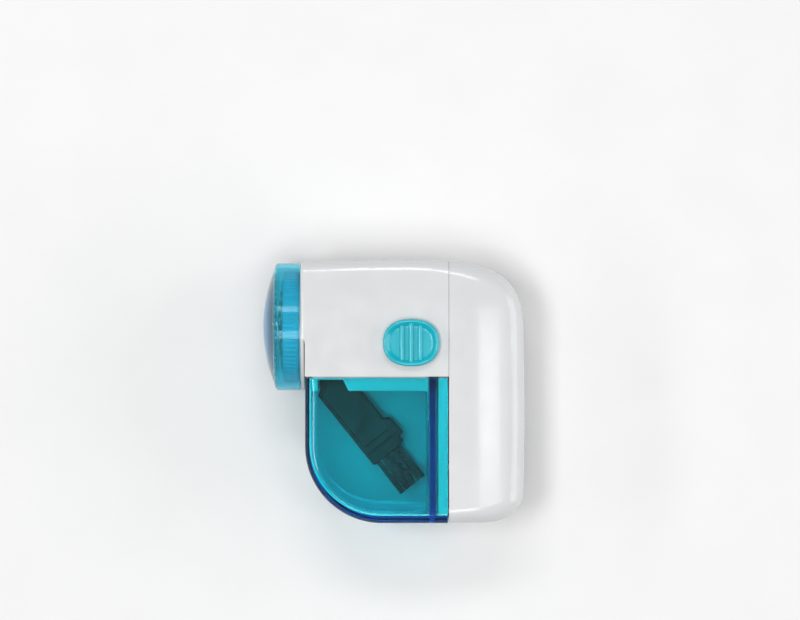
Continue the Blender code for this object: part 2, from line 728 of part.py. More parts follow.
# ---------------------------------------------------------------- bin and brush


def bin_outline(left, bottom, radius):
    """The bin's outline, carried past its open top and its right-hand side."""
    return [(30, bottom), (30, 30), (left, 30),
            *arc((left + radius, bottom + radius), radius, 180, 270, 18)]


def lint_bin():
    bin_ = part(slab([bin_outline(STEP_LEFT, BOTTOM, BIN_ARC)], 0, DEPTH, edge=1.5, edge_steps=2),
                "lint_bin", BLUE, bin_axis)
    keep(bin_, guide(box((-40, -50, -5), (BIN_RIGHT, BIN_TOP, 45)), "bin_region", bin_axis))
    room = slab([bin_outline(STEP_LEFT + WALL, BOTTOM + BIN_FLOOR, BIN_ARC - 2.0)], WALL, DEPTH - WALL,
                edge=0.6, edge_steps=0)
    guide(room, "bin_room", bin_axis)
    keep(room, guide(box((-40, -50, -5), (BIN_WALL_LEFT, 20, 45)), "bin_room_side", bin_axis))
    cut(bin_, room)
    spine_room = box((BIN_WALL_RIGHT, BOTTOM + BIN_FLOOR, WALL), (30, 20, DEPTH - WALL))
    cut(bin_, guide(spine_room, "bin_spine_room", bin_axis))


def brush_handle():
    """A flat handle with a raised rim, an angled tail and a thumb tab."""
    half, tip = BRUSH_WIDTH / 2, BRUSH_END
    outline = [(-3.2, -half), (tip - 0.6, -half), (tip, -half + 0.7), (tip, half - 1.3),
               (tip - 0.6, half + 0.5), (22.6, half + 0.4), (22.2, half + 2.2), (16.0, half + 1.7),
               (15.2, half), (-0.7, half), (-6.9, -1.9), (-4.3, -4.1)]
    handle = part(slab([outline], 0, BRUSH_THICK, edge=0.35, edge_steps=1), "brush_handle", BLACK,
                  brush_axis)
    pocket = [(-2.6, -half + 1.2), (tip - 6.0, -half + 1.2), (tip - 6.0, half - 1.2),
              (-0.6, half - 1.2), (-4.6, -1.6), (-3.0, -3.4)]
    cut(handle, guide(slab([pocket], BRUSH_THICK - 0.8, BRUSH_THICK + 1), "handle_pocket", brush_axis))


def brush_tufts():
    start = BRUSH_END + GAP
    for i in range(TUFTS):
        v = (i - (TUFTS - 1) / 2) * TUFT_PITCH
        outline = [(start, v - 0.65), (start + TUFT_LENGTH, v - 0.8),
                   (start + TUFT_LENGTH, v + 0.8), (start, v + 0.65)]
        part(slab([outline], 0.5, BRUSH_THICK - 0.5), f"brush_tuft_{i + 1}", BLACK, brush_axis,
             smooth=False)


# ---------------------------------------------------------------- the whole shaver

clear_scene()
parts = new_collection("fabric_shaver")
cutters = new_collection("cutters")

WHITE = plastic("white_plastic", (0.74, 0.75, 0.77), 0.32)
BLUE = plastic("blue_clear_plastic", (0.02, 0.36, 0.52), 0.08, alpha=0.75)
PALE_BLUE = plastic("pale_clear_plastic", (0.25, 0.62, 0.75), 0.06, alpha=0.45)
CYAN = plastic("cyan_plastic", (0.01, 0.46, 0.68), 0.3)
TURQUOISE = plastic("turquoise_plastic", (0.01, 0.52, 0.62), 0.3)
BLACK = plastic("black_plastic", (0.012, 0.012, 0.013), 0.45)
RED = plastic("red_insulation", (0.5, 0.02, 0.02), 0.5)
CELL = plastic("cell_sleeve", (0.05, 0.05, 0.055), 0.35)
STEEL = metal("steel", (0.6, 0.6, 0.58), 0.3)
BRASS = metal("brass", (0.72, 0.55, 0.25), 0.35)
COPPER = metal("copper_windings", (0.65, 0.3, 0.15), 0.4)
FERRITE = plastic("ferrite", (0.03, 0.03, 0.032), 0.7)

# On this empty +Z points out of the head, along the world's -X.
head_axis = empty("head_axis", (0, HEAD_Y, HEAD_Z), (0, -90, 0))
rotor_axis = empty("rotor_axis", (0, HEAD_Y, HEAD_Z), (0, -90, 0))
blade_axis = empty("blade_axis", (0, HEAD_Y, HEAD_Z), (0, -90, 0))
switch_axis = empty("switch_axis", (KNOB_X, KNOB_Y, 0))
bin_axis = empty("bin_axis", (0, 0, 0))
brush_axis = empty("brush_axis", BRUSH_PLACE, (0, BRUSH_TILT, BRUSH_TURN))

front_shell()
rear_shell()
housing_screws()
lint_chute()
battery_chassis()
battery_cells()
contacts()
battery_cover()
leads()
motor()
drive_shaft()
blade_spring()
blade_hub()
cutter_blade()
foil_screen()
foil_clamp()
foil_ring()
protective_cap()
switch_knob()
switch_inside()
lint_bin()
brush_handle()
brush_tufts()
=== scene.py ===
import json
import math

import bmesh
import bpy
from mathutils import Matrix, Vector


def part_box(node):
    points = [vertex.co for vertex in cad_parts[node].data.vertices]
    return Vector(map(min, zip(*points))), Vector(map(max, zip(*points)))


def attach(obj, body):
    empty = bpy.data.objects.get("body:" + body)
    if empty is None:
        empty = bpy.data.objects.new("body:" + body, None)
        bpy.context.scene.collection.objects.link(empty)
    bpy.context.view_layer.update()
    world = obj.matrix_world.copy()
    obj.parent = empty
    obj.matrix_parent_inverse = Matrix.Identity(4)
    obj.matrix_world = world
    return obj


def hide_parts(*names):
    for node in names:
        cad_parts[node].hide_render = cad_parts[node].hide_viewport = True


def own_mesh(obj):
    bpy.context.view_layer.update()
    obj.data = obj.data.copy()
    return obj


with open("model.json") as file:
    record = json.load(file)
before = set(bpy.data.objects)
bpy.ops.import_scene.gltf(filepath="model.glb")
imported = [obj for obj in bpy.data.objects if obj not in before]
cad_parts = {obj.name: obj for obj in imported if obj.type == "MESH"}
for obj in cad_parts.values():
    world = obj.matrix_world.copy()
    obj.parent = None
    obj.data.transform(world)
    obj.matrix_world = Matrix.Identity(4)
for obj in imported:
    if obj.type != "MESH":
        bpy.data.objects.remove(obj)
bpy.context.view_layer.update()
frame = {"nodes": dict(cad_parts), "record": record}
mm = 0.001

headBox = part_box("foil_ring")
headY = (headBox[0].y + headBox[1].y) / 2 / mm
headZ = (headBox[0].z + headBox[1].z) / 2 / mm
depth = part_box("lint_bin")[1].z / mm
half = depth / 2


# ---- mesh helpers: shapes are drawn in millimetres and stored in metres

def newObject(name, mesh):
    made = bpy.data.objects.new(name, mesh)
    bpy.context.scene.collection.objects.link(made)
    return made


def fromBmesh(name, shape, scale=mm):
    mesh = bpy.data.meshes.new(name)
    shape.to_mesh(mesh)
    shape.free()
    mesh.transform(Matrix.Scale(scale, 4))
    return newObject(name, mesh)


def plain(obj):
    # the evaluated mesh as a new object, with the modifiers gone
    graph = bpy.context.evaluated_depsgraph_get()
    mesh = bpy.data.meshes.new_from_object(obj.evaluated_get(graph))
    mesh.transform(obj.matrix_world)
    made = newObject(obj.name + "_made", mesh)
    name = obj.name
    bpy.data.objects.remove(obj)
    made.name = name
    return made


def combine(obj, others, operation):
    for other in others:
        mod = obj.modifiers.new("combine", "BOOLEAN")
        mod.object = other
        mod.operation = operation
        mod.solver = "EXACT"
    bpy.context.view_layer.update()
    made = plain(obj)
    for other in others:
        bpy.data.objects.remove(other)
    return made


def cut(obj, *others):
    return combine(obj, others, "DIFFERENCE")


def join(obj, *others):
    return combine(obj, others, "UNION")


def keep(obj, *others):
    return combine(obj, others, "INTERSECT")


def arc(cx, cy, radius, start, end, steps):
    turn = [math.radians(start + (end - start) * i / steps) for i in range(steps + 1)]
    return [(cx + radius * math.cos(a), cy + radius * math.sin(a)) for a in turn]


def bezier(p, q, r, s, steps):
    # points on a cubic curve, after its first one
    found = []
    for i in range(1, steps + 1):
        t = i / steps
        w = ((1 - t) ** 3, 3 * t * (1 - t) ** 2, 3 * t * t * (1 - t), t ** 3)
        found.append(tuple(sum(k * c[j] for k, c in zip(w, (p, q, r, s))) for j in range(len(p))))
    return found


def insetOutline(points, distances):
    # moves each point of a closed clockwise or anticlockwise outline inwards by its own distance
    count = len(points)
    area = sum(points[i - 1][0] * points[i][1] - points[i][0] * points[i - 1][1] for i in range(count))
    side = 1 if area > 0 else -1
    moved = []
    for i in range(count):
        here = Vector(points[i])
        back = (here - Vector(points[i - 1])).normalized()
        on = (Vector(points[(i + 1) % count]) - here).normalized()
        normalBack, normalOn = Vector((-back.y, back.x)) * side, Vector((-on.y, on.x)) * side
        mitre = normalBack + normalOn
        mitre /= max(mitre.dot(normalOn), 0.2)
        moved.append(tuple(here + mitre * distances[i]))
    return moved


def loft(name, sections):
    # closed body through sections with the same number of points, capped at both ends
    shape = bmesh.new()
    rings = [[shape.verts.new(p) for p in section] for section in sections]
    for low, high in zip(rings, rings[1:]):
        for i in range(len(low)):
            shape.faces.new((low[i - 1], low[i], high[i], high[i - 1]))
    shape.faces.new(rings[0][::-1])
    shape.faces.new(rings[-1])
    bmesh.ops.recalc_face_normals(shape, faces=shape.faces)
    return fromBmesh(name, shape)


def slab(name, outline, low, high, edge=0.0, steps=4, support=0.4):
    # a flat outline raised from low to high, its long edges rounded by edge: one number or one per point
    edges = edge if isinstance(edge, list) else [edge] * len(outline)
    if max(edges) <= 0:
        return loft(name, [[(x, y, z) for x, y in outline] for z in (low, high)])
    levels = []
    for i in range(steps + 1):
        angle = math.pi / 2 * i / steps
        levels.append((1 - math.cos(angle), 1 - math.sin(angle)))    # share of edge: inset, drop
    sections = []
    flat = insetOutline(outline, [e + support for e in edges])
    sections.append([(x, y, low) for x, y in flat])
    for inset, drop in reversed(levels):
        ring = insetOutline(outline, [e * inset for e in edges])
        sections.append([(x, y, low + e * drop) for (x, y), e in zip(ring, edges)])
    for inset, drop in levels:
        ring = insetOutline(outline, [e * inset for e in edges])
        sections.append([(x, y, high - e * drop) for (x, y), e in zip(ring, edges)])
    sections.append([(x, y, high) for x, y in flat])
    return loft(name, sections)


def box(name, low, high):
    shape = bmesh.new()
    bmesh.ops.create_cube(shape, size=1)
    for vert in shape.verts:
        vert.co = [(a + b) / 2 + c * (b - a) for a, b, c in zip(low, high, vert.co)]
    return fromBmesh(name, shape)


def turned(name, profile, steps=96, place=None):
    # a profile of (radius, forward) turned about the head's axis: forward is along -X
    shape = bmesh.new()
    closed = profile[0][0] > 0
    rings = []
    for radius, forward in profile:
        if radius == 0:
            rings.append([shape.verts.new((-forward, 0, 0))])
            continue
        angles = [2 * math.pi * i / steps for i in range(steps)]
        rings.append([shape.verts.new((-forward, radius * math.cos(a), radius * math.sin(a)))
                      for a in angles])
    pairs = list(zip(rings, rings[1:])) + ([(rings[-1], rings[0])] if closed else [])
    for one, two in pairs:
        for i in range(steps):
            a, b = (one[i - 1], one[i]) if len(one) > 1 else (one[0], one[0])
            c, d = (two[i], two[i - 1]) if len(two) > 1 else (two[0], two[0])
            corners = list(dict.fromkeys((a, b, c, d)))
            shape.faces.new(corners)
    bmesh.ops.recalc_face_normals(shape, faces=shape.faces)
    where = place or (0, headY, headZ)
    bmesh.ops.translate(shape, verts=shape.verts, vec=where)
    return fromBmesh(name, shape)


def drum(name, radius, low, high, axis="Z", steps=48):
    # a plain cylinder between two points that differ along X or Z
    shape = bmesh.new()
    bmesh.ops.create_cone(shape, cap_ends=True, segments=steps, radius1=radius, radius2=radius,
                          depth=(Vector(high) - Vector(low)).length)
    turn = Matrix.Rotation(math.pi / 2, 3, "Y") if axis == "X" else Matrix.Identity(3)
    middle = (Vector(low) + Vector(high)) / 2
    for vert in shape.verts:
        vert.co = turn @ vert.co + middle
    return fromBmesh(name, shape)


def soften(obj, width, steps=2, angle=50):
    # a small radius on the sharp edges
    mod = obj.modifiers.new("soften", "BEVEL")
    mod.width = width * mm
    mod.segments = steps
    mod.limit_method = "ANGLE"
    mod.angle_limit = math.radians(angle)
    mod.use_clamp_overlap = True
    return plain(obj)


def shade(obj, angle=32):
    # smooth shading that keeps edges above the angle sharp and broad faces flat
    obj.data.shade_smooth()
    obj.data.set_sharp_from_angle(angle=math.radians(angle))
    mod = obj.modifiers.new("weights", "WEIGHTED_NORMAL")
    mod.keep_sharp = True
    return plain(obj)


def finishPiece(obj, name, material, body, slotName, *nodes):
    obj.name = name
    obj.data.name = name
    obj.data.materials.clear()
    obj.data.materials.append(material)
    for face in obj.data.polygons:
        face.material_index = 0
    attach(obj, body)
    if nodes:
        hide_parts(*nodes)
    return obj


# ---- materials: everything reads Object coordinates, which are the shaver's own millimetres x 0.001

def newMaterial(name, colour, roughness, **values):
    mat = bpy.data.materials.new(name)
    mat.use_nodes = True
    shader = mat.node_tree.nodes["Principled BSDF"]
    shader.inputs["Base Color"].default_value = (*colour, 1)
    shader.inputs["Roughness"].default_value = roughness
    for socket, value in values.items():
        shader.inputs[socket.replace("_", " ")].default_value = value
    return mat, mat.node_tree, shader


def pattern(tree, kind="ShaderNodeTexNoise", scale=400.0, stretch=(1, 1, 1), **values):
    # a texture on Object coordinates, which Mapping can stretch along an axis
    coords = tree.nodes.new("ShaderNodeTexCoord")
    mapping = tree.nodes.new("ShaderNodeMapping")
    mapping.inputs["Scale"].default_value = stretch
    texture = tree.nodes.new(kind)
    texture.inputs["Scale"].default_value = scale
    for socket, value in values.items():
        texture.inputs[socket].default_value = value
    tree.links.new(coords.outputs["Object"], mapping.inputs["Vector"])
    tree.links.new(mapping.outputs["Vector"], texture.inputs["Vector"])
    return texture


def spread(tree, source, low, high, fromLow=0.35, fromHigh=0.65):
    node = tree.nodes.new("ShaderNodeMapRange")
    for socket, value in (("From Min", fromLow), ("From Max", fromHigh), ("To Min", low), ("To Max", high)):
        node.inputs[socket].default_value = value
    tree.links.new(source, node.inputs["Value"])
    return node.outputs["Result"]


def blendColours(tree, factor, dark, light):
    node = tree.nodes.new("ShaderNodeMix")
    node.data_type = "RGBA"
    node.inputs[6].default_value = (*dark, 1)
    node.inputs[7].default_value = (*light, 1)
    tree.links.new(factor, node.inputs[0])
    return node.outputs[2]


def addBump(tree, shader, height, strength, distance):
    bump = tree.nodes.new("ShaderNodeBump")
    bump.inputs["Strength"].default_value = strength
    bump.inputs["Distance"].default_value = distance
    tree.links.new(height, bump.inputs["Height"])
    tree.links.new(bump.outputs["Normal"], shader.inputs["Normal"])


def mouldedPlastic(name, colour, roughness, grain=0.10, varied=0.03, **values):
    # gloss or satin plastic: slight flow marks in the colour, a fine grain, and worn patches of gloss
    mat, tree, shader = newMaterial(name, colour, roughness, **values)
    flow = pattern(tree, scale=55, Detail=3)
    darker = tuple(c * (1 - varied) for c in colour)
    lighter = tuple(min(1, c * (1 + varied)) for c in colour)
    tint = blendColours(tree, spread(tree, flow.outputs["Fac"], 0, 1), darker, lighter)
    tree.links.new(tint, shader.inputs["Base Color"])
    wear = pattern(tree, scale=160, Detail=5)
    gloss = spread(tree, wear.outputs["Fac"], roughness * 0.8, roughness * 1.25)
    tree.links.new(gloss, shader.inputs["Roughness"])
    skin = pattern(tree, scale=2600, Detail=2)
    addBump(tree, shader, skin.outputs["Fac"], grain, 0.00003)
    return mat


def clearPlastic(name, tint, density, colour, clearness, ior, roughness=0.02):
    # tinted right through: thin walls look pale, and walls seen edge-on look dark
    mat, tree, shader = newMaterial(name, colour, roughness, Transmission_Weight=clearness, IOR=ior)
    ripple = pattern(tree, scale=90, Detail=2)
    addBump(tree, shader, ripple.outputs["Fac"], 0.05, 0.0001)
    absorb = tree.nodes.new("ShaderNodeVolumeAbsorption")
    absorb.inputs["Color"].default_value = (*tint, 1)
    absorb.inputs["Density"].default_value = density
    tree.links.new(absorb.outputs["Volume"], tree.nodes["Material Output"].inputs["Volume"])
    return mat


def drawnMetal(name, colour, roughness, stretch=(1, 1, 1), scale=1500, depthOfMarks=0.15):
    # bare metal with fine marks, drawn out across the axis that stretch makes long
    mat, tree, shader = newMaterial(name, colour, roughness, Metallic=1.0)
    marks = pattern(tree, scale=scale, stretch=stretch, Detail=4)
    tint = blendColours(tree, spread(tree, marks.outputs["Fac"], 0, 1),
                        tuple(c * 0.86 for c in colour), tuple(min(1, c * 1.08) for c in colour))
    tree.links.new(tint, shader.inputs["Base Color"])
    gloss = spread(tree, marks.outputs["Fac"], roughness * 0.75, roughness * 1.3)
    tree.links.new(gloss, shader.inputs["Roughness"])
    addBump(tree, shader, marks.outputs["Fac"], depthOfMarks, 0.00002)
    return mat


def cellSleeve(name, bandLow, bandHigh):
    # a dark sleeve with a plain copper-coloured band near the positive end
    mat, tree, shader = newMaterial(name, (0.03, 0.03, 0.035), 0.25, Coat_Weight=0.4)
    coords = tree.nodes.new("ShaderNodeTexCoord")
    parts = tree.nodes.new("ShaderNodeSeparateXYZ")
    tree.links.new(coords.outputs["Object"], parts.inputs["Vector"])
    along = parts.outputs["Y"]
    inside = maths(tree, "MULTIPLY", maths(tree, "GREATER_THAN", along, bandLow),
                   maths(tree, "LESS_THAN", along, bandHigh))
    tint = blendColours(tree, inside, (0.028, 0.03, 0.034), (0.55, 0.27, 0.12))
    tree.links.new(tint, shader.inputs["Base Color"])
    wear = pattern(tree, scale=300, Detail=4)
    tree.links.new(spread(tree, wear.outputs["Fac"], 0.2, 0.36), shader.inputs["Roughness"])
    return mat


white = mouldedPlastic("whiteGloss", (0.675, 0.682, 0.69), 0.2, varied=0.012, Coat_Weight=0.3,
                       Coat_Roughness=0.08)
innerWhite = mouldedPlastic("whiteSatin", (0.70, 0.71, 0.72), 0.38, varied=0.02)
binBlue = clearPlastic("blueClear", (0.10, 0.971, 0.999), 1200, (0.86, 0.98, 1.0), 0.99, 1.28)
capBlue = clearPlastic("paleClear", (0.08, 0.90, 0.985), 450, (0.22, 0.84, 0.93), 0.90, 1.30)
ringCyan = mouldedPlastic("cyanSatin", (0.001, 0.76, 0.93), 0.34)
knobTurquoise = mouldedPlastic("turquoiseSatin", (0.002, 0.45, 0.55), 0.3, Coat_Weight=0.7,
                               Coat_Roughness=0.08, Specular_IOR_Level=0.3)
brushBlack = mouldedPlastic("blackSatin", (0.012, 0.012, 0.014), 0.42, grain=0.25, Specular_IOR_Level=0.3)
bristleBlack = mouldedPlastic("blackNylon", (0.035, 0.033, 0.036), 0.42)
motorBlack = mouldedPlastic("blackMoulded", (0.02, 0.02, 0.022), 0.45)
foilSteel = drawnMetal("foilSteel", (0.62, 0.64, 0.60), 0.24, scale=900)
springSteel = drawnMetal("springSteel", (0.60, 0.60, 0.59), 0.26)
canSteel = drawnMetal("canSteel", (0.55, 0.57, 0.57), 0.32, stretch=(0.15, 1, 1))
brass = drawnMetal("stampedBrass", (0.72, 0.52, 0.24), 0.3)
copper = drawnMetal("windingCopper", (0.62, 0.26, 0.12), 0.35, stretch=(6, 1, 1), scale=500)
ferrite = mouldedPlastic("ferriteGrey", (0.05, 0.05, 0.055), 0.6, grain=0.5)
redWire = mouldedPlastic("redInsulation", (0.42, 0.012, 0.01), 0.42)
blackWire = mouldedPlastic("blackInsulation", (0.015, 0.015, 0.016), 0.42)
whiteWire = mouldedPlastic("whiteInsulation", (0.66, 0.66, 0.64), 0.42)
print("materials made")


# ---- the outer form that the body and the battery cover share

formSizes = {"wall": 1.6, "barrelEdge": 3.0, "handleEdge": 5.2, "growFrom": 6.0, "growTo": 34.0,
             "bulgeFrom": 21.0, "bulgeRadius": 70.0, "seam": 17.1, "seamGap": 0.05,
             "barrelLeft": -28.5, "stepLeft": -27.1, "barrelBottom": 4.6, "bottom": -40.5,
             "split": 0.05, "headRound": 0.9, "crownFrom": 25.0, "crownRadius": 60.0,
             "bulgeSlices": 20, "crownSlices": 14}


def silhouette():
    s = formSizes
    low = s["bottom"]
    points = [(-34.0, low), (-34.0, 39.5)]
    points += bezier((-34.0, 39.5), (-20.0, 40.15), (-8.0, 40.5), (4.5, 40.5), 12)
    points += bezier((4.5, 40.5), (31.0, 40.6), (40.2, 36.5), (40.2, 18.0), 44)
    points += bezier((40.2, 18.0), (40.3, 8.0), (40.5, 2.0), (40.5, -5.0), 6)
    points += bezier((40.5, -5.0), (40.5, -16.0), (40.4, -24.0), (40.1, -31.0), 6)
    points += bezier((40.1, -31.0), (39.9, -36.4), (35.6, low), (27.0, low), 28)
    points += [(20.0, low), (8.0, low)]
    return points


def sliceAlong(shape, places, normal):
    # divides every face along parallel planes, so that the form can bend there
    for place in places:
        everything = shape.verts[:] + shape.edges[:] + shape.faces[:]
        bmesh.ops.bisect_plane(shape, geom=everything, dist=1e-7, plane_no=normal,
                               plane_co=[part * place * mm for part in normal])


def outerForm(name, inset=0.0):
    s = formSizes
    outline = silhouette()
    edges = []
    for x, y in outline:
        t = min(max((x - s["growFrom"]) / (s["growTo"] - s["growFrom"]), 0), 1)
        grown = t * t * (3 - 2 * t)
        edges.append(s["barrelEdge"] + (s["handleEdge"] - s["barrelEdge"]) * grown - inset)
    moved = insetOutline(outline, [inset] * len(outline))
    form = slab(name, moved, inset, depth - inset, edges, steps=8)
    # the handle's faces fall away gently towards its right-hand side
    shape = bmesh.new()
    shape.from_mesh(form.data)
    sliceAlong(shape, [s["bulgeFrom"] + i for i in range(s["bulgeSlices"])], (1, 0, 0))
    sliceAlong(shape, [s["crownFrom"] + i for i in range(s["crownSlices"])], (0, 1, 0))
    # the long faces round over where the barrel ends at the head
    start, turn = s["barrelLeft"] + s["headRound"], s["headRound"]
    sliceAlong(shape, [start - turn * math.sin(math.pi / 2 * i / 6) for i in range(7)], (1, 0, 0))
    shape.normal_update()
    for vert in shape.verts:
        past = start - vert.co.x / mm
        if past > 0 and inset == 0:
            away = Vector((0, vert.normal.y, vert.normal.z)).normalized()
            vert.co -= away * (turn - math.sqrt(max(0, turn ** 2 - min(past, turn) ** 2))) * mm
    for vert in shape.verts:
        fall = max(0, vert.co.x / mm - s["bulgeFrom"]) ** 2 / (2 * s["bulgeRadius"])
        fall += max(0, vert.co.y / mm - s["crownFrom"]) ** 2 / (2 * s["crownRadius"])
        vert.co.z = half * mm + (vert.co.z - half * mm) * (1 - fall / half)
    bmesh.ops.triangulate(shape, faces=[f for f in shape.faces if len(f.verts) > 4])
    shape.to_mesh(form.data)
    shape.free()
    return form


def makeCover():
    s = formSizes
    cover = keep(outerForm("cover"), box("coverRegion", (s["seam"] + s["seamGap"], -60, -5), (60, 60, 60)))
    cover = cut(cover, outerForm("coverRoom", s["wall"]))
    cover = soften(cover, 0.12, angle=60)
    return finishPiece(shade(cover), "batteryCover", white, "cover", "white_plastic", "battery_cover")


headSizes = {"collarRadius": 19.7, "collarBack": 27.4, "collarFront": 28.5, "spigotRadius": 18.1,
             "spigotFront": 29.1, "bore": 16.9,
             "capRim": 28.8, "capTip": 40.5, "capRadius": 19.8, "capWall": 1.4, "capShoulder": 35.5,
             "capDomeEdge": 37.1, "capDomeRadius": 17.4, "capInnerEnd": 36.4,
             "ringBack": 29.4, "ringFront": 34.0, "ringRoot": 17.05, "ringBore": 16.7, "ringRibs": 72,
             "ribHeight": 0.38, "foilRadius": 16.4, "foilRise": 2.0}


def collar(low, high):
    h = headSizes
    profile = [(h["spigotRadius"] - 0.3, h["spigotFront"]), (h["spigotRadius"], h["spigotFront"] - 0.3),
               (h["spigotRadius"], h["collarFront"]), (h["collarRadius"] - 0.15, h["collarFront"]),
               (h["collarRadius"], h["collarFront"] - 0.15), (h["collarRadius"], h["collarBack"] + 0.15),
               (h["collarRadius"] - 0.15, h["collarBack"]), (h["bore"], h["collarBack"]),
               (h["bore"], h["spigotFront"])]
    return keep(turned("collar", profile, 128), box("collarHalf", (-32, -2, low), (-20, 42, high)))


def bodyShell(name, low, high, skirtFace):
    # one half of the barrel: low and high are its split and its outer face, in either order
    s, h = formSizes, headSizes
    bottom, top = min(low, high), max(low, high)
    step = bezier((s["barrelLeft"], 18.8), (s["barrelLeft"], 16.2), (s["stepLeft"], 16.6),
                  (s["stepLeft"], 14.2), 14)
    right = s["seam"] - s["seamGap"]
    region = [(right, s["barrelBottom"]), (right, 60), (s["barrelLeft"], 60), (s["barrelLeft"], 18.8),
              *step, (s["stepLeft"], s["barrelBottom"])]
    shell = keep(outerForm(name), slab("barrelRegion", region, bottom, top))
    room = keep(outerForm("barrelRoom", s["wall"]),
                box("barrelRoomSide", (-26.9, s["barrelBottom"] + s["wall"], -5), (60, 60, 45)))
    shell = cut(shell, room, drum("headBore", h["bore"], (-40, headY, headZ), (-26, headY, headZ), "X", 128))
    inner, outer = skirtFace
    left, far, drop, over, thick = -24.9, 10.8, 0.2, s["barrelBottom"] + 0.8, 1.4
    lip = box("lip", (left, drop, min(low, outer)), (far, over, max(low, outer)))
    lipRoom = box("lipRoom", (left + thick, drop - 1, min(low - 5, inner) if inner > low else inner),
                  (far - thick, over - 0.1, inner if inner > low else max(low + 5, inner)))
    shell = join(shell, collar(bottom, top), cut(lip, lipRoom))
    shell = cut(shell, box("lintPort", (-23.2, s["barrelBottom"] - 1, 3.6), (-13.0, 8, 36.4)),
                box("spinePort", (13.6, 0, 1.5), (30, 8, 38.5)))
    return shell


def makeFrontShell():
    s = formSizes
    shell = bodyShell("front", half + s["split"], depth + 1, (36.6, 38.0))
    notch = [(-23.2, -2), (-23.2, 3.6), (-15.4, 3.6), (-13.7, 0.2), (-13.0, -2)]
    shell = cut(shell, slab("notch", notch, 34, 39), box("slot", (-0.4, 13.5, 35), (7.4, 16.5, 45)))
    shell = soften(shell, 0.12, angle=60)
    return finishPiece(shade(shell), "barrelFront", white, "housing", "white_plastic", "front_shell")


screwPlaces = [(-21.5, 36.3), (9.5, 36.3), (10.2, 8.4), (-8.0, 8.4)]


def makeRearShell():
    s = formSizes
    shell = bodyShell("rear", half - s["split"], -1, (3.4, 2.0))
    for x, y in screwPlaces:
        boss = drum("boss", 3.2, (x, y, 1.0), (x, y, half - 0.5))
        shell = join(shell, boss)
    for x, y in screwPlaces:
        shell = cut(shell, drum("recess", 2.4, (x, y, -1), (x, y, 8.5)),
                    drum("clearance", 1.35, (x, y, -1), (x, y, 30)))
    shell = soften(shell, 0.12, angle=60)
    return finishPiece(shade(shell), "barrelRear", white, "housing", "white_plastic", "rear_shell")


makeCover()
makeFrontShell()
makeRearShell()
print("housing and cover made")


# ---- geometry nodes: each tree takes its sizes as named inputs

def newTree(name, **sizes):
    # a geometry tree with one input for each size; whole numbers become integer inputs
    tree = bpy.data.node_groups.new(name, "GeometryNodeTree")
    face = tree.interface
    face.new_socket("Geometry", in_out="INPUT", socket_type="NodeSocketGeometry")
    for label, value in sizes.items():
        kind = "NodeSocketInt" if isinstance(value, int) else "NodeSocketFloat"
        face.new_socket(label, in_out="INPUT", socket_type=kind).default_value = value
    face.new_socket("Geometry", in_out="OUTPUT", socket_type="NodeSocketGeometry")
    return tree, tree.nodes.new("NodeGroupInput"), tree.nodes.new("NodeGroupOutput")


def addNode(tree, kind, links=None, **values):
    # a node, its inputs fed by sockets or set to values; operation and mode words go in values
    node = tree.nodes.new(kind)
    for key, value in values.items():
        if hasattr(node, key) and not isinstance(value, (tuple, float)) and key != "Value":
            setattr(node, key, value)
        else:
            node.inputs[key].default_value = value
    for key, source in (links or {}).items():
        tree.links.new(source, node.inputs[key])
    return node


def maths(tree, operation, a, b=None):
    node = tree.nodes.new("ShaderNodeMath")
    node.operation = operation
    for i, value in enumerate((a, b)):
        if value is None:
            continue
        if isinstance(value, (int, float)):
            node.inputs[i].default_value = value
        else:
            tree.links.new(value, node.inputs[i])
    return node.outputs[0]


def endTree(tree, end, geometry, material):
    # every tree ends in real geometry with its material
    real = addNode(tree, "GeometryNodeRealizeInstances", {"Geometry": geometry})
    coloured = addNode(tree, "GeometryNodeSetMaterial", {"Geometry": real.outputs["Geometry"]})
    coloured.inputs["Material"].default_value = material
    tree.links.new(coloured.outputs["Geometry"], end.inputs["Geometry"])


def runTree(obj, tree, **sizes):
    mod = obj.modifiers.new(tree.name, "NODES")
    mod.node_group = tree
    sockets = {item.name: item.identifier for item in tree.interface.items_tree
               if item.in_out == "INPUT"}
    for label, value in sizes.items():
        mod[sockets[label]] = value
    return plain(obj)


def ringTree(material):
    # copies of the object's own mesh round the Z axis
    tree, start, end = newTree("ribsRound", Count=72, Radius=0.017)
    circle = addNode(tree, "GeometryNodeMeshCircle", {"Vertices": start.outputs["Count"],
                                                      "Radius": start.outputs["Radius"]})
    index = tree.nodes.new("GeometryNodeInputIndex").outputs[0]
    turn = maths(tree, "MULTIPLY", index, 2 * math.pi)
    turn = maths(tree, "DIVIDE", turn, start.outputs["Count"])
    angles = addNode(tree, "ShaderNodeCombineXYZ", {"Z": turn})
    copies = addNode(tree, "GeometryNodeInstanceOnPoints",
                     {"Points": circle.outputs["Mesh"], "Instance": start.outputs["Geometry"],
                      "Rotation": angles.outputs[0]})
    endTree(tree, end, copies.outputs["Instances"], material)
    return tree


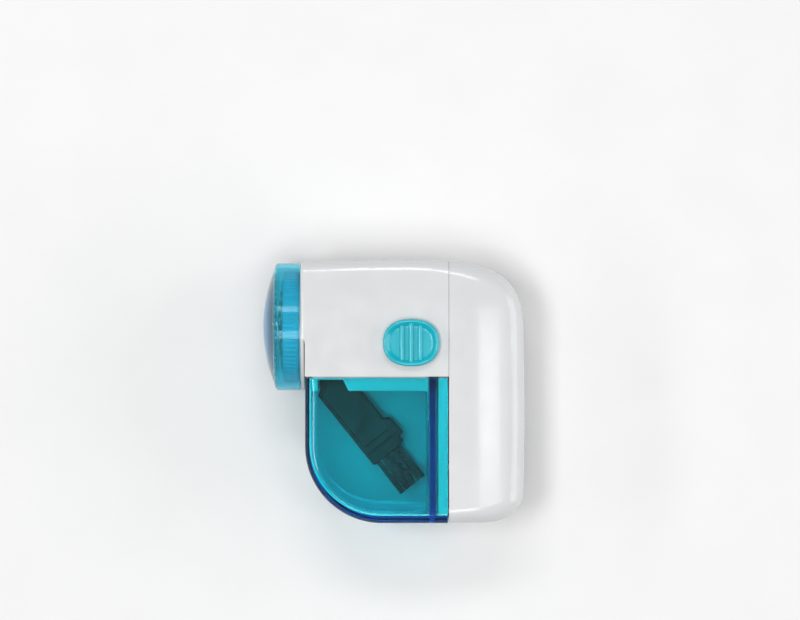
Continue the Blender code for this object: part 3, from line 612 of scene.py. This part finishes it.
def perforatedTree(material):
    # holed hexagon cells on a staggered grid, welded, trimmed to a disc and lifted to a dome
    tree, start, end = newTree("perforatedDome", Columns=30, Rows=34, Pitch=0.0011, Reach=0.0158,
                               Sphere=0.068)
    pitch, reach = start.outputs["Pitch"], start.outputs["Reach"]
    rowPitch = maths(tree, "MULTIPLY", pitch, math.sqrt(3) / 2)
    sizeX = maths(tree, "MULTIPLY", maths(tree, "SUBTRACT", start.outputs["Columns"], 1), pitch)
    sizeY = maths(tree, "MULTIPLY", maths(tree, "SUBTRACT", start.outputs["Rows"], 1), rowPitch)
    grid = addNode(tree, "GeometryNodeMeshGrid",
                   {"Size X": sizeX, "Size Y": sizeY, "Vertices X": start.outputs["Columns"],
                    "Vertices Y": start.outputs["Rows"]})
    index = tree.nodes.new("GeometryNodeInputIndex").outputs[0]
    row = maths(tree, "MODULO", index, start.outputs["Rows"])
    odd = maths(tree, "MODULO", row, 2)
    shift = addNode(tree, "ShaderNodeCombineXYZ",
                    {"X": maths(tree, "MULTIPLY", maths(tree, "MULTIPLY", odd, 0.5), pitch)})
    staggered = addNode(tree, "GeometryNodeSetPosition",
                        {"Geometry": grid.outputs["Mesh"], "Offset": shift.outputs[0]})
    cells = addNode(tree, "GeometryNodeInstanceOnPoints",
                    {"Points": staggered.outputs["Geometry"], "Instance": start.outputs["Geometry"]})
    real = addNode(tree, "GeometryNodeRealizeInstances", {"Geometry": cells.outputs["Instances"]})
    welded = addNode(tree, "GeometryNodeMergeByDistance", {"Geometry": real.outputs["Geometry"]})
    welded.inputs["Distance"].default_value = 0.00002
    place = tree.nodes.new("GeometryNodeInputPosition").outputs[0]
    parts = addNode(tree, "ShaderNodeSeparateXYZ", {"Vector": place})
    squares = maths(tree, "ADD", maths(tree, "POWER", parts.outputs["X"], 2),
                    maths(tree, "POWER", parts.outputs["Y"], 2))
    radius = maths(tree, "SQRT", squares)
    outside = maths(tree, "GREATER_THAN", radius, reach)
    trimmed = addNode(tree, "GeometryNodeDeleteGeometry",
                      {"Geometry": welded.outputs["Geometry"], "Selection": outside})
    trimmed.domain = "POINT"
    fall = maths(tree, "DIVIDE", squares, maths(tree, "MULTIPLY", start.outputs["Sphere"], -2))
    lift = addNode(tree, "ShaderNodeCombineXYZ", {"Z": fall})
    domed = addNode(tree, "GeometryNodeSetPosition",
                    {"Geometry": trimmed.outputs["Geometry"], "Offset": lift.outputs[0]})
    endTree(tree, end, domed.outputs["Geometry"], material)
    return tree


def bristleTree(material):
    # bristles stand along +X on points spread over the object's own patches, each leaning a little
    tree, start, end = newTree("bristles", Density=60.0, Length=0.012, Thickness=0.00011, Lean=0.035,
                               Seed=7)
    spots = addNode(tree, "GeometryNodeDistributePointsOnFaces", {"Mesh": start.outputs["Geometry"],
                                                                   "Density": start.outputs["Density"],
                                                                   "Seed": start.outputs["Seed"]})
    stalk = addNode(tree, "GeometryNodeMeshCone", {"Radius Bottom": start.outputs["Thickness"],
                                                   "Depth": start.outputs["Length"]})
    stalk.inputs["Vertices"].default_value = 5
    stalk.inputs["Side Segments"].default_value = 3
    tip = maths(tree, "MULTIPLY", start.outputs["Thickness"], 0.45)
    tree.links.new(tip, stalk.inputs["Radius Top"])
    lean = tree.nodes.new("FunctionNodeRandomValue")
    lean.data_type = "FLOAT_VECTOR"
    back = maths(tree, "MULTIPLY", start.outputs["Lean"], -1)
    low = addNode(tree, "ShaderNodeCombineXYZ", {"Y": back, "Z": back})
    high = addNode(tree, "ShaderNodeCombineXYZ", {"Y": start.outputs["Lean"], "Z": start.outputs["Lean"]})
    tree.links.new(low.outputs[0], lean.inputs[0])
    tree.links.new(high.outputs[0], lean.inputs[1])
    tree.links.new(start.outputs["Seed"], lean.inputs["Seed"])
    upright = tree.nodes.new("FunctionNodeAlignEulerToVector")
    upright.axis = "Z"
    ahead = tree.nodes.new("ShaderNodeVectorMath")
    ahead.operation = "ADD"
    ahead.inputs[1].default_value = (1, 0, 0)
    tree.links.new(lean.outputs[0], ahead.inputs[0])
    tree.links.new(ahead.outputs[0], upright.inputs["Vector"])
    stalks = addNode(tree, "GeometryNodeInstanceOnPoints",
                     {"Points": spots.outputs["Points"], "Instance": stalk.outputs["Mesh"],
                      "Rotation": upright.outputs[0]})
    endTree(tree, end, stalks.outputs["Instances"], material)
    return tree


def copiesTree(material, thing):
    # a copy of one thing at each of the object's own points
    tree, start, end = newTree("copiesAtPoints", Scale=1.0)
    source = tree.nodes.new("GeometryNodeObjectInfo")
    source.inputs["Object"].default_value = thing
    scale = addNode(tree, "ShaderNodeCombineXYZ", {k: start.outputs["Scale"] for k in "XYZ"})
    copies = addNode(tree, "GeometryNodeInstanceOnPoints",
                     {"Points": start.outputs["Geometry"], "Instance": source.outputs["Geometry"],
                      "Scale": scale.outputs[0]})
    endTree(tree, end, copies.outputs["Instances"], material)
    return tree


def facingHead(obj, forward):
    # from a drawing along +Z to the head's axis, forward millimetres out along -X
    place = Matrix.Translation((-forward * mm, headY * mm, headZ * mm))
    turn = place @ Matrix.Rotation(-math.pi / 2, 4, "Y")
    obj.data.transform(turn)


# ---- shaving head

def makeCap():
    h = headSizes
    inner = h["capRadius"] - h["capWall"]
    rise = h["capTip"] - h["capDomeEdge"]
    sphere = (h["capDomeRadius"] ** 2 + rise ** 2) / (2 * rise)
    profile = [(0, h["capTip"])]
    for i in range(1, 15):
        r = h["capDomeRadius"] * i / 14
        profile.append((r, h["capTip"] - sphere + math.sqrt(sphere ** 2 - r ** 2)))
    # a fine groove parts the dome from the shoulder
    groove, bed = h["capDomeRadius"], h["capDomeEdge"] - 0.45
    profile += [(groove + 0.06, bed), (groove + 0.3, bed), (groove + 0.36, h["capDomeEdge"] - 0.08)]
    profile += bezier(profile[-1], (18.8, 36.8), (h["capRadius"], 36.5),
                      (h["capRadius"], h["capShoulder"]), 10)
    rim = h["capRim"]
    profile += [(h["capRadius"], rim + 0.25), (h["capRadius"] - 0.08, rim + 0.07),
                (h["capRadius"] - 0.25, rim), (inner + 0.25, rim), (inner + 0.07, rim + 0.07),
                (inner, rim + 0.25), (inner, h["capInnerEnd"] - 0.5)]
    profile += [(inner - 0.4 * (1 - math.cos(a)), h["capInnerEnd"] - 0.4 * (1 - math.sin(a)))
                for a in (math.pi / 2 * i / 4 for i in range(1, 5))]
    profile.append((0, h["capInnerEnd"]))
    cap = shade(turned("cap", profile, 128), 40)
    finishPiece(cap, "protectiveCap", capBlue, "cap", "clear_pale_plastic", "protective_cap")


def makeFoilRing():
    h = headSizes
    back, front, root, bore = h["ringBack"], h["ringFront"], h["ringRoot"], h["ringBore"]
    profile = [(bore, front), (root - 0.1, front), (root, front - 0.1), (root, back + 0.1),
               (root - 0.1, back), (16.6, back), (16.6, 27.9), (16.45, 27.7), (15.55, 27.7),
               (15.4, 27.9), (15.4, back + 0.5), (bore - 0.2, back + 0.6), (bore, back + 0.9)]
    band = turned("ringBand", profile, 144)
    # one grip rib, half round and tapered at its ends, lying along Z
    ribHalf, ribLow, ribHigh = 0.42, back + 0.35, front - 0.35
    shape = bmesh.new()
    rows = []
    for z, size in ((ribLow, 0.2), (ribLow + 0.3, 0.85), (ribLow + 0.7, 1), (ribHigh - 0.7, 1),
                    (ribHigh - 0.3, 0.85), (ribHigh, 0.2)):
        tall, wide = h["ribHeight"] * size, ribHalf * size
        rows.append([shape.verts.new((tall * math.sin(a) - 0.06, wide * math.cos(a), z))
                     for a in (math.pi * i / 6 for i in range(7))])
    for low, high in zip(rows, rows[1:]):
        for i in range(6):
            shape.faces.new((low[i], low[i + 1], high[i + 1], high[i]))
        shape.faces.new((low[6], low[0], high[0], high[6]))
    shape.faces.new(rows[0])
    shape.faces.new(rows[-1])
    bmesh.ops.recalc_face_normals(shape, faces=shape.faces)
    rib = fromBmesh("rib", shape)
    ribs = runTree(rib, ringTree(ringCyan), Count=h["ringRibs"], Radius=root * mm)
    facingHead(ribs, 0)
    for mesh in (band.data, ribs.data):
        mesh.materials.clear()
    shape = bmesh.new()
    shape.from_mesh(band.data)
    shape.from_mesh(ribs.data)
    shape.to_mesh(band.data)
    shape.free()
    bpy.data.objects.remove(ribs)
    finishPiece(shade(band, 38), "ribbedRing", ringCyan, "foil_head", "cyan_plastic", "foil_ring")


foilSizes = {"pitch": 1.05, "hole": 0.34, "rimWide": 0.75, "sheet": 0.12, "skirtEnd": 31.0}


def makeFoil():
    h, f = headSizes, foilSizes
    pitch, rim = f["pitch"], h["foilRadius"] - f["rimWide"]
    holeRadius = pitch * f["hole"]
    top = h["ringFront"] + h["foilRise"]
    sphere = (h["foilRadius"] ** 2 + h["foilRise"] ** 2) / (2 * h["foilRise"])
    # one cell: a hexagon with a round hole in it
    shape = bmesh.new()
    corner = pitch / math.sqrt(3)
    outer, inner = [], []
    for i in range(12):
        angle = math.radians(30 * i)
        reach = corner if i % 2 else corner * math.cos(math.radians(30))
        outer.append(shape.verts.new((reach * math.cos(angle), reach * math.sin(angle), 0)))
        inner.append(shape.verts.new((holeRadius * math.cos(angle), holeRadius * math.sin(angle), 0)))
    for i in range(12):
        shape.faces.new((outer[i - 1], outer[i], inner[i], inner[i - 1]))
    cell = fromBmesh("foilCell", shape)
    columns, rows = int(2 * rim / pitch) + 4, int(2 * rim / (pitch * 0.866)) + 4
    sheet = runTree(cell, perforatedTree(foilSteel), Columns=columns, Rows=rows, Pitch=pitch * mm,
                    Reach=(rim - 0.1) * mm, Sphere=sphere * mm)
    facingHead(sheet, top)
    thick = sheet.modifiers.new("thick", "SOLIDIFY")
    thick.thickness = f["sheet"] * mm
    thick.offset = 0
    sheet = plain(sheet)
    # the plain rim round the holes, and the skirt that the clamp grips
    profile = []
    for i in range(7):
        r = rim - 0.6 + (h["foilRadius"] - rim + 0.6) * i / 6
        profile.append((r, top - sphere + math.sqrt(sphere ** 2 - r ** 2)))
    edge = h["foilRadius"]
    profile += [(edge + 0.05, profile[-1][1] - 0.2), (edge + 0.05, f["skirtEnd"]),
                (edge - 0.2, f["skirtEnd"]), (edge - 0.2, profile[6][1] - 0.25)]
    for i in range(6):
        r = edge - 0.3 - (edge - rim + 0.3) * i / 5
        profile.append((r, top - sphere + math.sqrt(sphere ** 2 - r ** 2) - 0.18))
    rimPart = turned("foilRim", profile, 128)
    shape = bmesh.new()
    shape.from_mesh(sheet.data)
    shape.from_mesh(rimPart.data)
    bmesh.ops.recalc_face_normals(shape, faces=shape.faces)
    shape.to_mesh(rimPart.data)
    shape.free()
    bpy.data.objects.remove(sheet)
    finishPiece(shade(rimPart, 40), "perforatedFoil", foilSteel, "foil_head", "foil_steel", "foil_screen")


# ---- lint bin

binSizes = {"left": -27.1, "right": 16.8, "top": 4.1, "bottom": -40.5, "arc": 23.7, "wall": 1.6,
            "floor": 2.3, "sideIn": 11.3, "sideOut": 13.0, "edge": 2.8}


def binOutline(left, bottom, radius, right=30, top=30):
    corner = arc(left + radius, bottom + radius, radius, 180, 270, 56)
    return [(right, bottom), (right, top), (left, top), *corner]


def makeBin():
    b = binSizes
    tub = slab("tub", binOutline(b["left"], b["bottom"], b["arc"]), 0, depth, b["edge"], steps=6)
    tub = keep(tub, box("tubRegion", (-40, -60, -5), (b["right"], b["top"], 50)))
    roomOutline = binOutline(b["left"] + b["wall"], b["bottom"] + b["floor"], b["arc"] - 2.0,
                             right=b["sideIn"])
    room = slab("room", roomOutline, b["wall"], depth - b["wall"], 1.4, steps=6, support=0.2)
    # a shallow panel sunk into the inside of the rear wall
    panel = slab("panel", binOutline(b["left"] + 3.6, b["bottom"] + 5.7, b["arc"] - 4, right=9.6, top=-2.5),
                 b["wall"] - 0.6, 8)
    spineRoom = box("spineRoom", (b["sideOut"], b["bottom"] + b["floor"], b["wall"]),
                    (40, 30, depth - b["wall"]))
    tub = cut(soften(cut(tub, room, spineRoom), 0.22, angle=55), panel)
    finishPiece(shade(tub, 35), "lintBin", binBlue, "bin", "clear_blue_plastic", "lint_bin")


# ---- switch knob

def superellipse(length, width, power, steps=96):
    points = []
    for i in range(steps):
        a = 2 * math.pi * i / steps
        c, s = math.cos(a), math.sin(a)
        points.append((length / 2 * math.copysign(abs(c) ** (2 / power), c),
                       width / 2 * math.copysign(abs(s) ** (2 / power), s)))
    return points


def makeKnob():
    k = {"x": 5.5, "y": 15.0, "length": 17.4, "width": 14.6, "power": 2.3, "dish": 0.95,
         "ribs": 3, "pitch": 2.8, "ribWide": 1.6, "ribLong": 12.6}
    base, top = depth + 0.15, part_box("switch_knob")[1].z / mm
    outline = superellipse(k["length"], k["width"], k["power"])
    rimRound = 0.62
    sections = []

    def ring(inset, z):
        smaller = insetOutline(outline, [inset] * len(outline))
        sections.append([(k["x"] + x, k["y"] + y, z) for x, y in smaller])

    ring(0.9, base)
    ring(0.25, base)
    ring(0.08, base + 0.15)
    ring(0.0, base + 0.5)
    ring(0.06, top - rimRound)
    for i in range(1, 7):
        a = math.pi / 2 * i / 6
        ring(0.06 + rimRound * (1 - math.cos(a)), top - rimRound * (1 - math.sin(a)))
    for i in range(1, 11):
        t = i / 10
        ring(0.68 + 1.7 * t, top - k["dish"] * t * t * (3 - 2 * t))
    ring(2.8, top - k["dish"])
    body = loft("knob", sections)
    ribs = []
    for i in range(k["ribs"]):
        x = k["x"] + (i - (k["ribs"] - 1) / 2) * k["pitch"]
        long = k["ribLong"] - 1.2 * abs(i - 1)
        half = k["ribWide"] / 2
        outlineRib = (arc(x, k["y"] + long / 2 - half, half, 0, 180, 12)
                      + arc(x, k["y"] - long / 2 + half, half, 180, 360, 12))
        ribs.append(slab("knobRib", outlineRib, top - 2.0, top - 0.02, 0.6, steps=5, support=0.1))
    stem = box("knobStem", (k["x"] - 1.5, k["y"] - 1.2, 36.5), (k["x"] + 1.5, k["y"] + 1.2, base + 0.6))
    body = join(body, stem, *ribs)
    finishPiece(shade(body, 40), "switchKnob", knobTurquoise, "switch", "turquoise_plastic", "switch_knob")


# ---- cleaning brush

brushSizes = {"place": (-17.13, -0.9, 3.95), "turn": -51.35, "tilt": 2.8, "width": 11.7, "thick": 3.2,
              "end": 25.0, "tufts": 5, "tuftLength": 12.0, "tuftPitch": 1.98}


def brushPlace():
    z = brushSizes
    turn = Matrix.Rotation(math.radians(z["turn"]), 4, "Z") @ Matrix.Rotation(math.radians(z["tilt"]), 4, "Y")
    return Matrix.Translation([c * mm for c in z["place"]]) @ turn


def makeBrush():
    z = brushSizes
    wide, tip, thick = z["width"] / 2, z["end"], z["thick"]
    outline = [(-3.2, -wide), (tip - 0.6, -wide), (tip, -wide + 0.7), (tip, wide - 1.3),
               (tip - 0.6, wide + 0.5), (22.6, wide + 0.4), (22.2, wide + 2.2), (16.0, wide + 1.7),
               (15.2, wide), (-0.7, wide), (-6.9, -1.9), (-4.3, -4.1)]
    handle = slab("handle", outline, 0, thick, 0.4, steps=3, support=0.2)
    pocket = [(-2.6, -wide + 1.2), (tip - 6.4, -wide + 1.2), (tip - 6.4, wide - 1.2),
              (-0.6, wide - 1.2), (-4.6, -1.6), (-3.0, -3.4)]
    handle = cut(handle, slab("pocket", pocket, thick - 0.9, thick + 1))
    # a groove across the end holds the tufts
    handle = cut(handle, box("tuftGroove", (tip - 4.4, -wide + 1.0, thick - 0.35),
                             (tip - 3.9, wide - 1.0, thick + 1)))
    handle = soften(handle, 0.14, angle=50)
    handle.data.transform(brushPlace())
    finishPiece(shade(handle, 40), "brushHandle", brushBlack, "bin", "black_plastic", "brush_handle")
    for i in range(z["tufts"]):
        v = (i - (z["tufts"] - 1) / 2) * z["tuftPitch"]
        shape = bmesh.new()
        bmesh.ops.create_grid(shape, x_segments=1, y_segments=1, size=0.5)
        for vert in shape.verts:
            x, y, _ = vert.co
            vert.co = (tip - 0.6, v + x * 1.35, thick / 2 + y * 2.1)
        patch = fromBmesh("tuft", shape)
        stalks = runTree(patch, bristleTree(bristleBlack), Density=2.6e7, Length=(z["tuftLength"] + 0.9) * mm,
                         Thickness=0.00012, Lean=0.030, Seed=11 + i)
        stalks.data.transform(brushPlace())
        finishPiece(shade(stalks, 60), f"bristles{i + 1}", bristleBlack, "bin", "black_bristle",
                    f"brush_tuft_{i + 1}")


# ---- screws, cells and the pieces inside

screwSizes = {"top": 6.4, "shankTop": 8.2, "tip": 30.0, "core": 0.95, "crest": 1.22, "pitch": 0.9,
              "headRadius": 2.1, "crossLong": 1.3, "crossHalf": 0.25}


def makeScrews():
    # one pan-head screw with a cross recess, then a copy in each boss
    w = screwSizes
    low, shankTop, tip, core = w["top"], w["shankTop"], w["tip"], w["core"]
    long, narrow = w["crossLong"], w["crossHalf"]
    profile = [(0, -tip), (0.5, -tip + 0.8), (core, -tip + 2.0)]
    z = -tip + 2.0
    while z < -shankTop - 1.0:
        profile += [(w["crest"], z + 0.45), (core, z + w["pitch"])]
        z += w["pitch"]
    profile += [(core, -shankTop), (w["headRadius"], -shankTop), (w["headRadius"], -shankTop + 0.9),
                (1.7, -low - 0.25), (0, -low)]
    screw = turned("screw", profile[::-1], 24, place=(0, 0, 0))
    screw.data.transform(Matrix.Rotation(math.pi / 2, 4, "Y"))
    if min(v.co.z for v in screw.data.vertices) < 0:
        screw.data.transform(Matrix.Rotation(math.pi, 4, "X"))
    screw = cut(screw, box("crossOne", (-long, -narrow, 0), (long, narrow, low + 0.8)),
                box("crossTwo", (-narrow, -long, 0), (narrow, long, low + 0.8)))
    screw = shade(screw, 35)
    shape = bmesh.new()
    for x, y in screwPlaces:
        shape.verts.new((x, y, 0))
    screws = runTree(fromBmesh("screwPoints", shape), copiesTree(springSteel, screw))
    bpy.data.objects.remove(screw)
    finishPiece(screws, "housingScrews", springSteel, "housing", "spring_steel",
                *[f"housing_screw_{i + 1}" for i in range(len(screwPlaces))])


def makeCells():
    # sleeve with a rolled crimp at each end, a steel nub and a steel base
    radius = 7.25
    for number, direction in ((1, 1), (2, -1)):
        low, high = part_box(f"battery_cell_{number}")
        start = (low.y if direction > 0 else high.y) / mm
        length = (high.y - low.y) / mm
        top = length - 1.2
        profile = [(0, length), (2.5, length), (2.75, length - 0.25), (2.75, top + 0.05), (5.6, top),
                   (5.9, top + 0.25), (radius - 0.35, top), (radius, top - 0.5), (radius, 0.5),
                   (radius - 0.35, 0.05), (6.0, 0.0), (5.7, 0.3), (0, 0.3)]
        cell = turned("cell", profile, 72, place=(0, 0, 0))
        cell.data.transform(Matrix.Rotation(-direction * math.pi / 2, 4, "Z"))
        cell.data.transform(Matrix.Translation(((low.x + high.x) / 2, start * mm, (low.z + high.z) / 2)))
        sleeve = cellUp if direction > 0 else cellDown
        finishPiece(shade(cell, 40), f"cell{number}", sleeve, "housing", "cell_sleeve",
                    f"battery_cell_{number}")


def smoothCopy(node, name, material, body, slotName, angle=35, edge=0.0):
    # a welded, smoothly shaded copy of a piece whose shape is already right
    mesh = frame["nodes"][node].data.copy()
    shape = bmesh.new()
    shape.from_mesh(mesh)
    bmesh.ops.remove_doubles(shape, verts=shape.verts, dist=1e-6)
    bmesh.ops.dissolve_limit(shape, angle_limit=math.radians(0.5), verts=shape.verts, edges=shape.edges)
    shape.to_mesh(mesh)
    shape.free()
    copy = newObject(name, mesh)
    if edge:
        copy = soften(copy, edge, angle=50)
    return finishPiece(shade(copy, angle), name, material, body, slotName, node)


def makeBladeSpring(body, slotName):
    # the hub presses it against its collar as the blade floats back
    spring = smoothCopy("blade_spring", "bladeSpring", springSteel, body, slotName, 80)
    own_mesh(spring)


def makeInside():
    bodyOf = {node: body for body, nodes in frame["record"]["behaviour"]["bodies"].items() for node in nodes}
    slotOf = {entry["node"]: entry["material_slot"] for entry in frame["record"]["subparts"]}
    inside = (("battery_chassis", "batteryChassis", innerWhite, 0.15),
              ("lint_chute", "lintChute", innerWhite, 0.15),
              ("foil_clamp", "foilClamp", innerWhite, 0), ("blade_hub", "bladeHub", innerWhite, 0.1),
              ("cutter_blade", "cutterBlade", springSteel, 0),
              ("shaft_collar", "shaftCollar", innerWhite, 0.08),
              ("drive_shaft", "driveShaft", springSteel, 0), ("motor_can", "motorCan", canSteel, 0),
              ("motor_end_cap", "motorEndCap", motorBlack, 0.15),
              ("motor_bearing", "motorBearing", brass, 0.1),
              ("motor_magnet_1", "magnet1", ferrite, 0.15),
              ("motor_magnet_2", "magnet2", ferrite, 0.15),
              ("motor_armature", "armature", copper, 0.1),
              ("motor_terminal_1", "terminal1", brass, 0.05),
              ("motor_terminal_2", "terminal2", brass, 0.05),
              ("switch_carrier", "switchCarrier", innerWhite, 0.15),
              ("switch_bridge", "switchBridge", brass, 0.05),
              ("switch_base", "switchBase", motorBlack, 0.15),
              ("switch_contact_1", "contact1", brass, 0.05),
              ("switch_contact_2", "contact2", brass, 0.05),
              ("positive_plate", "positivePlate", springSteel, 0.05),
              ("negative_plate", "negativePlate", springSteel, 0.05),
              ("bridge_plate", "bridgePlate", springSteel, 0.05),
              ("bridge_spring", "bridgeSpring", springSteel, 0),
              ("negative_spring", "negativeSpring", springSteel, 0),
              ("red_lead", "redLead", redWire, 0), ("black_lead", "blackLead", blackWire, 0),
              ("motor_lead", "motorLead", whiteWire, 0))
    for node, name, material, edge in inside:
        wire = node.endswith(("spring", "lead"))
        smoothCopy(node, name, material, bodyOf[node], slotOf[node], 80 if wire else 35, edge)
    makeBladeSpring(bodyOf["blade_spring"], slotOf["blade_spring"])


cellUp = cellSleeve("cellSleeveUp", 0.0005, 0.0175)
cellDown = cellSleeve("cellSleeveDown", -0.0345, -0.0185)
makeCap()
makeFoilRing()
makeFoil()
print("shaving head made")
makeBin()
makeKnob()
makeBrush()
print("bin, switch and brush made")
makeScrews()
makeCells()
makeInside()
print("screws, cells and the pieces inside made")


# ---- stage: floor, world, lights and camera

stageSizes = {"floor": 3.0, "drop": 0.0001, "viewX": 0.0021, "viewY": 0.025, "eye": 1.266, "lens": 180}


def areaLight(name, place, target, size, power, long=(0, 1, 0)):
    # a rectangle aimed at the target, with the second of its sizes lying along long
    lamp = bpy.data.lights.new(name, "AREA")
    lamp.shape = "RECTANGLE"
    lamp.size, lamp.size_y = size
    lamp.energy = power
    made = bpy.data.objects.new(name, lamp)
    bpy.context.scene.collection.objects.link(made)
    back = (Vector(place) - Vector(target)).normalized()
    across = Vector(long).cross(back).normalized()
    along = back.cross(across)
    turn = Matrix((across, along, back)).transposed()
    made.matrix_world = Matrix.Translation(place) @ turn.to_4x4()
    return made


# name, place, target, size and power of each light
studioLights = (("keyAbove", (-0.05, 0.95, 1.5), (0, 0, 0.02), (0.9, 0.3), 6.0),
                ("panelLeft", (-0.52, 0, 2.0), (0, 0, 0.02), (0.36, 0.6), 13.0),
                ("panelBelow", (0.0, -0.50, 2.0), (0, 0, 0.02), (0.8, 0.5), 8.0),
                ("panelRight", (1.1, 0, 0.42), (0, 0, 0.02), (0.7, 1.0), 5.0),
                ("softboxRight", (0.33, -0.034, 1.15), (0.03, -0.034, 0.04), (0.22, 0.11), 0.5),
                ("stripLeft", (-0.95, 0.05, 0.75), (0, 0, 0.03), (0.15, 1.1), 2.6))


def makeStage():
    z = stageSizes
    shape = bmesh.new()
    bmesh.ops.create_grid(shape, x_segments=1, y_segments=1, size=z["floor"] / 2)
    bmesh.ops.translate(shape, verts=shape.verts, vec=(0, 0, -z["drop"]))
    floor = fromBmesh("floor", shape, 1.0)
    mat, tree, shader = newMaterial("paleFloor", (0.84, 0.84, 0.84), 0.6)
    mottle = pattern(tree, scale=40, Detail=3)
    mottled = spread(tree, mottle.outputs["Fac"], 0, 1)
    tint = blendColours(tree, mottled, (0.835, 0.835, 0.835), (0.85, 0.85, 0.85))
    tree.links.new(tint, shader.inputs["Base Color"])
    floor.data.materials.append(mat)
    world = bpy.data.worlds.new("studio")
    world.use_nodes = True
    sky = world.node_tree.nodes["Background"]
    sky.inputs["Color"].default_value = (1.0, 1.0, 1.0, 1)
    sky.inputs["Strength"].default_value = 0.22
    bpy.context.scene.world = world
    for lamp in studioLights:
        areaLight(*lamp)
    camera = bpy.data.cameras.new("camera")
    camera.lens = z["lens"]
    camera.sensor_width = 36
    eye = bpy.data.objects.new("camera", camera)
    bpy.context.scene.collection.objects.link(eye)
    eye.location = (z["viewX"], z["viewY"], z["eye"])
    bpy.context.scene.camera = eye
    bpy.context.scene.view_settings.view_transform = "Standard"


makeStage()
print("stage made")
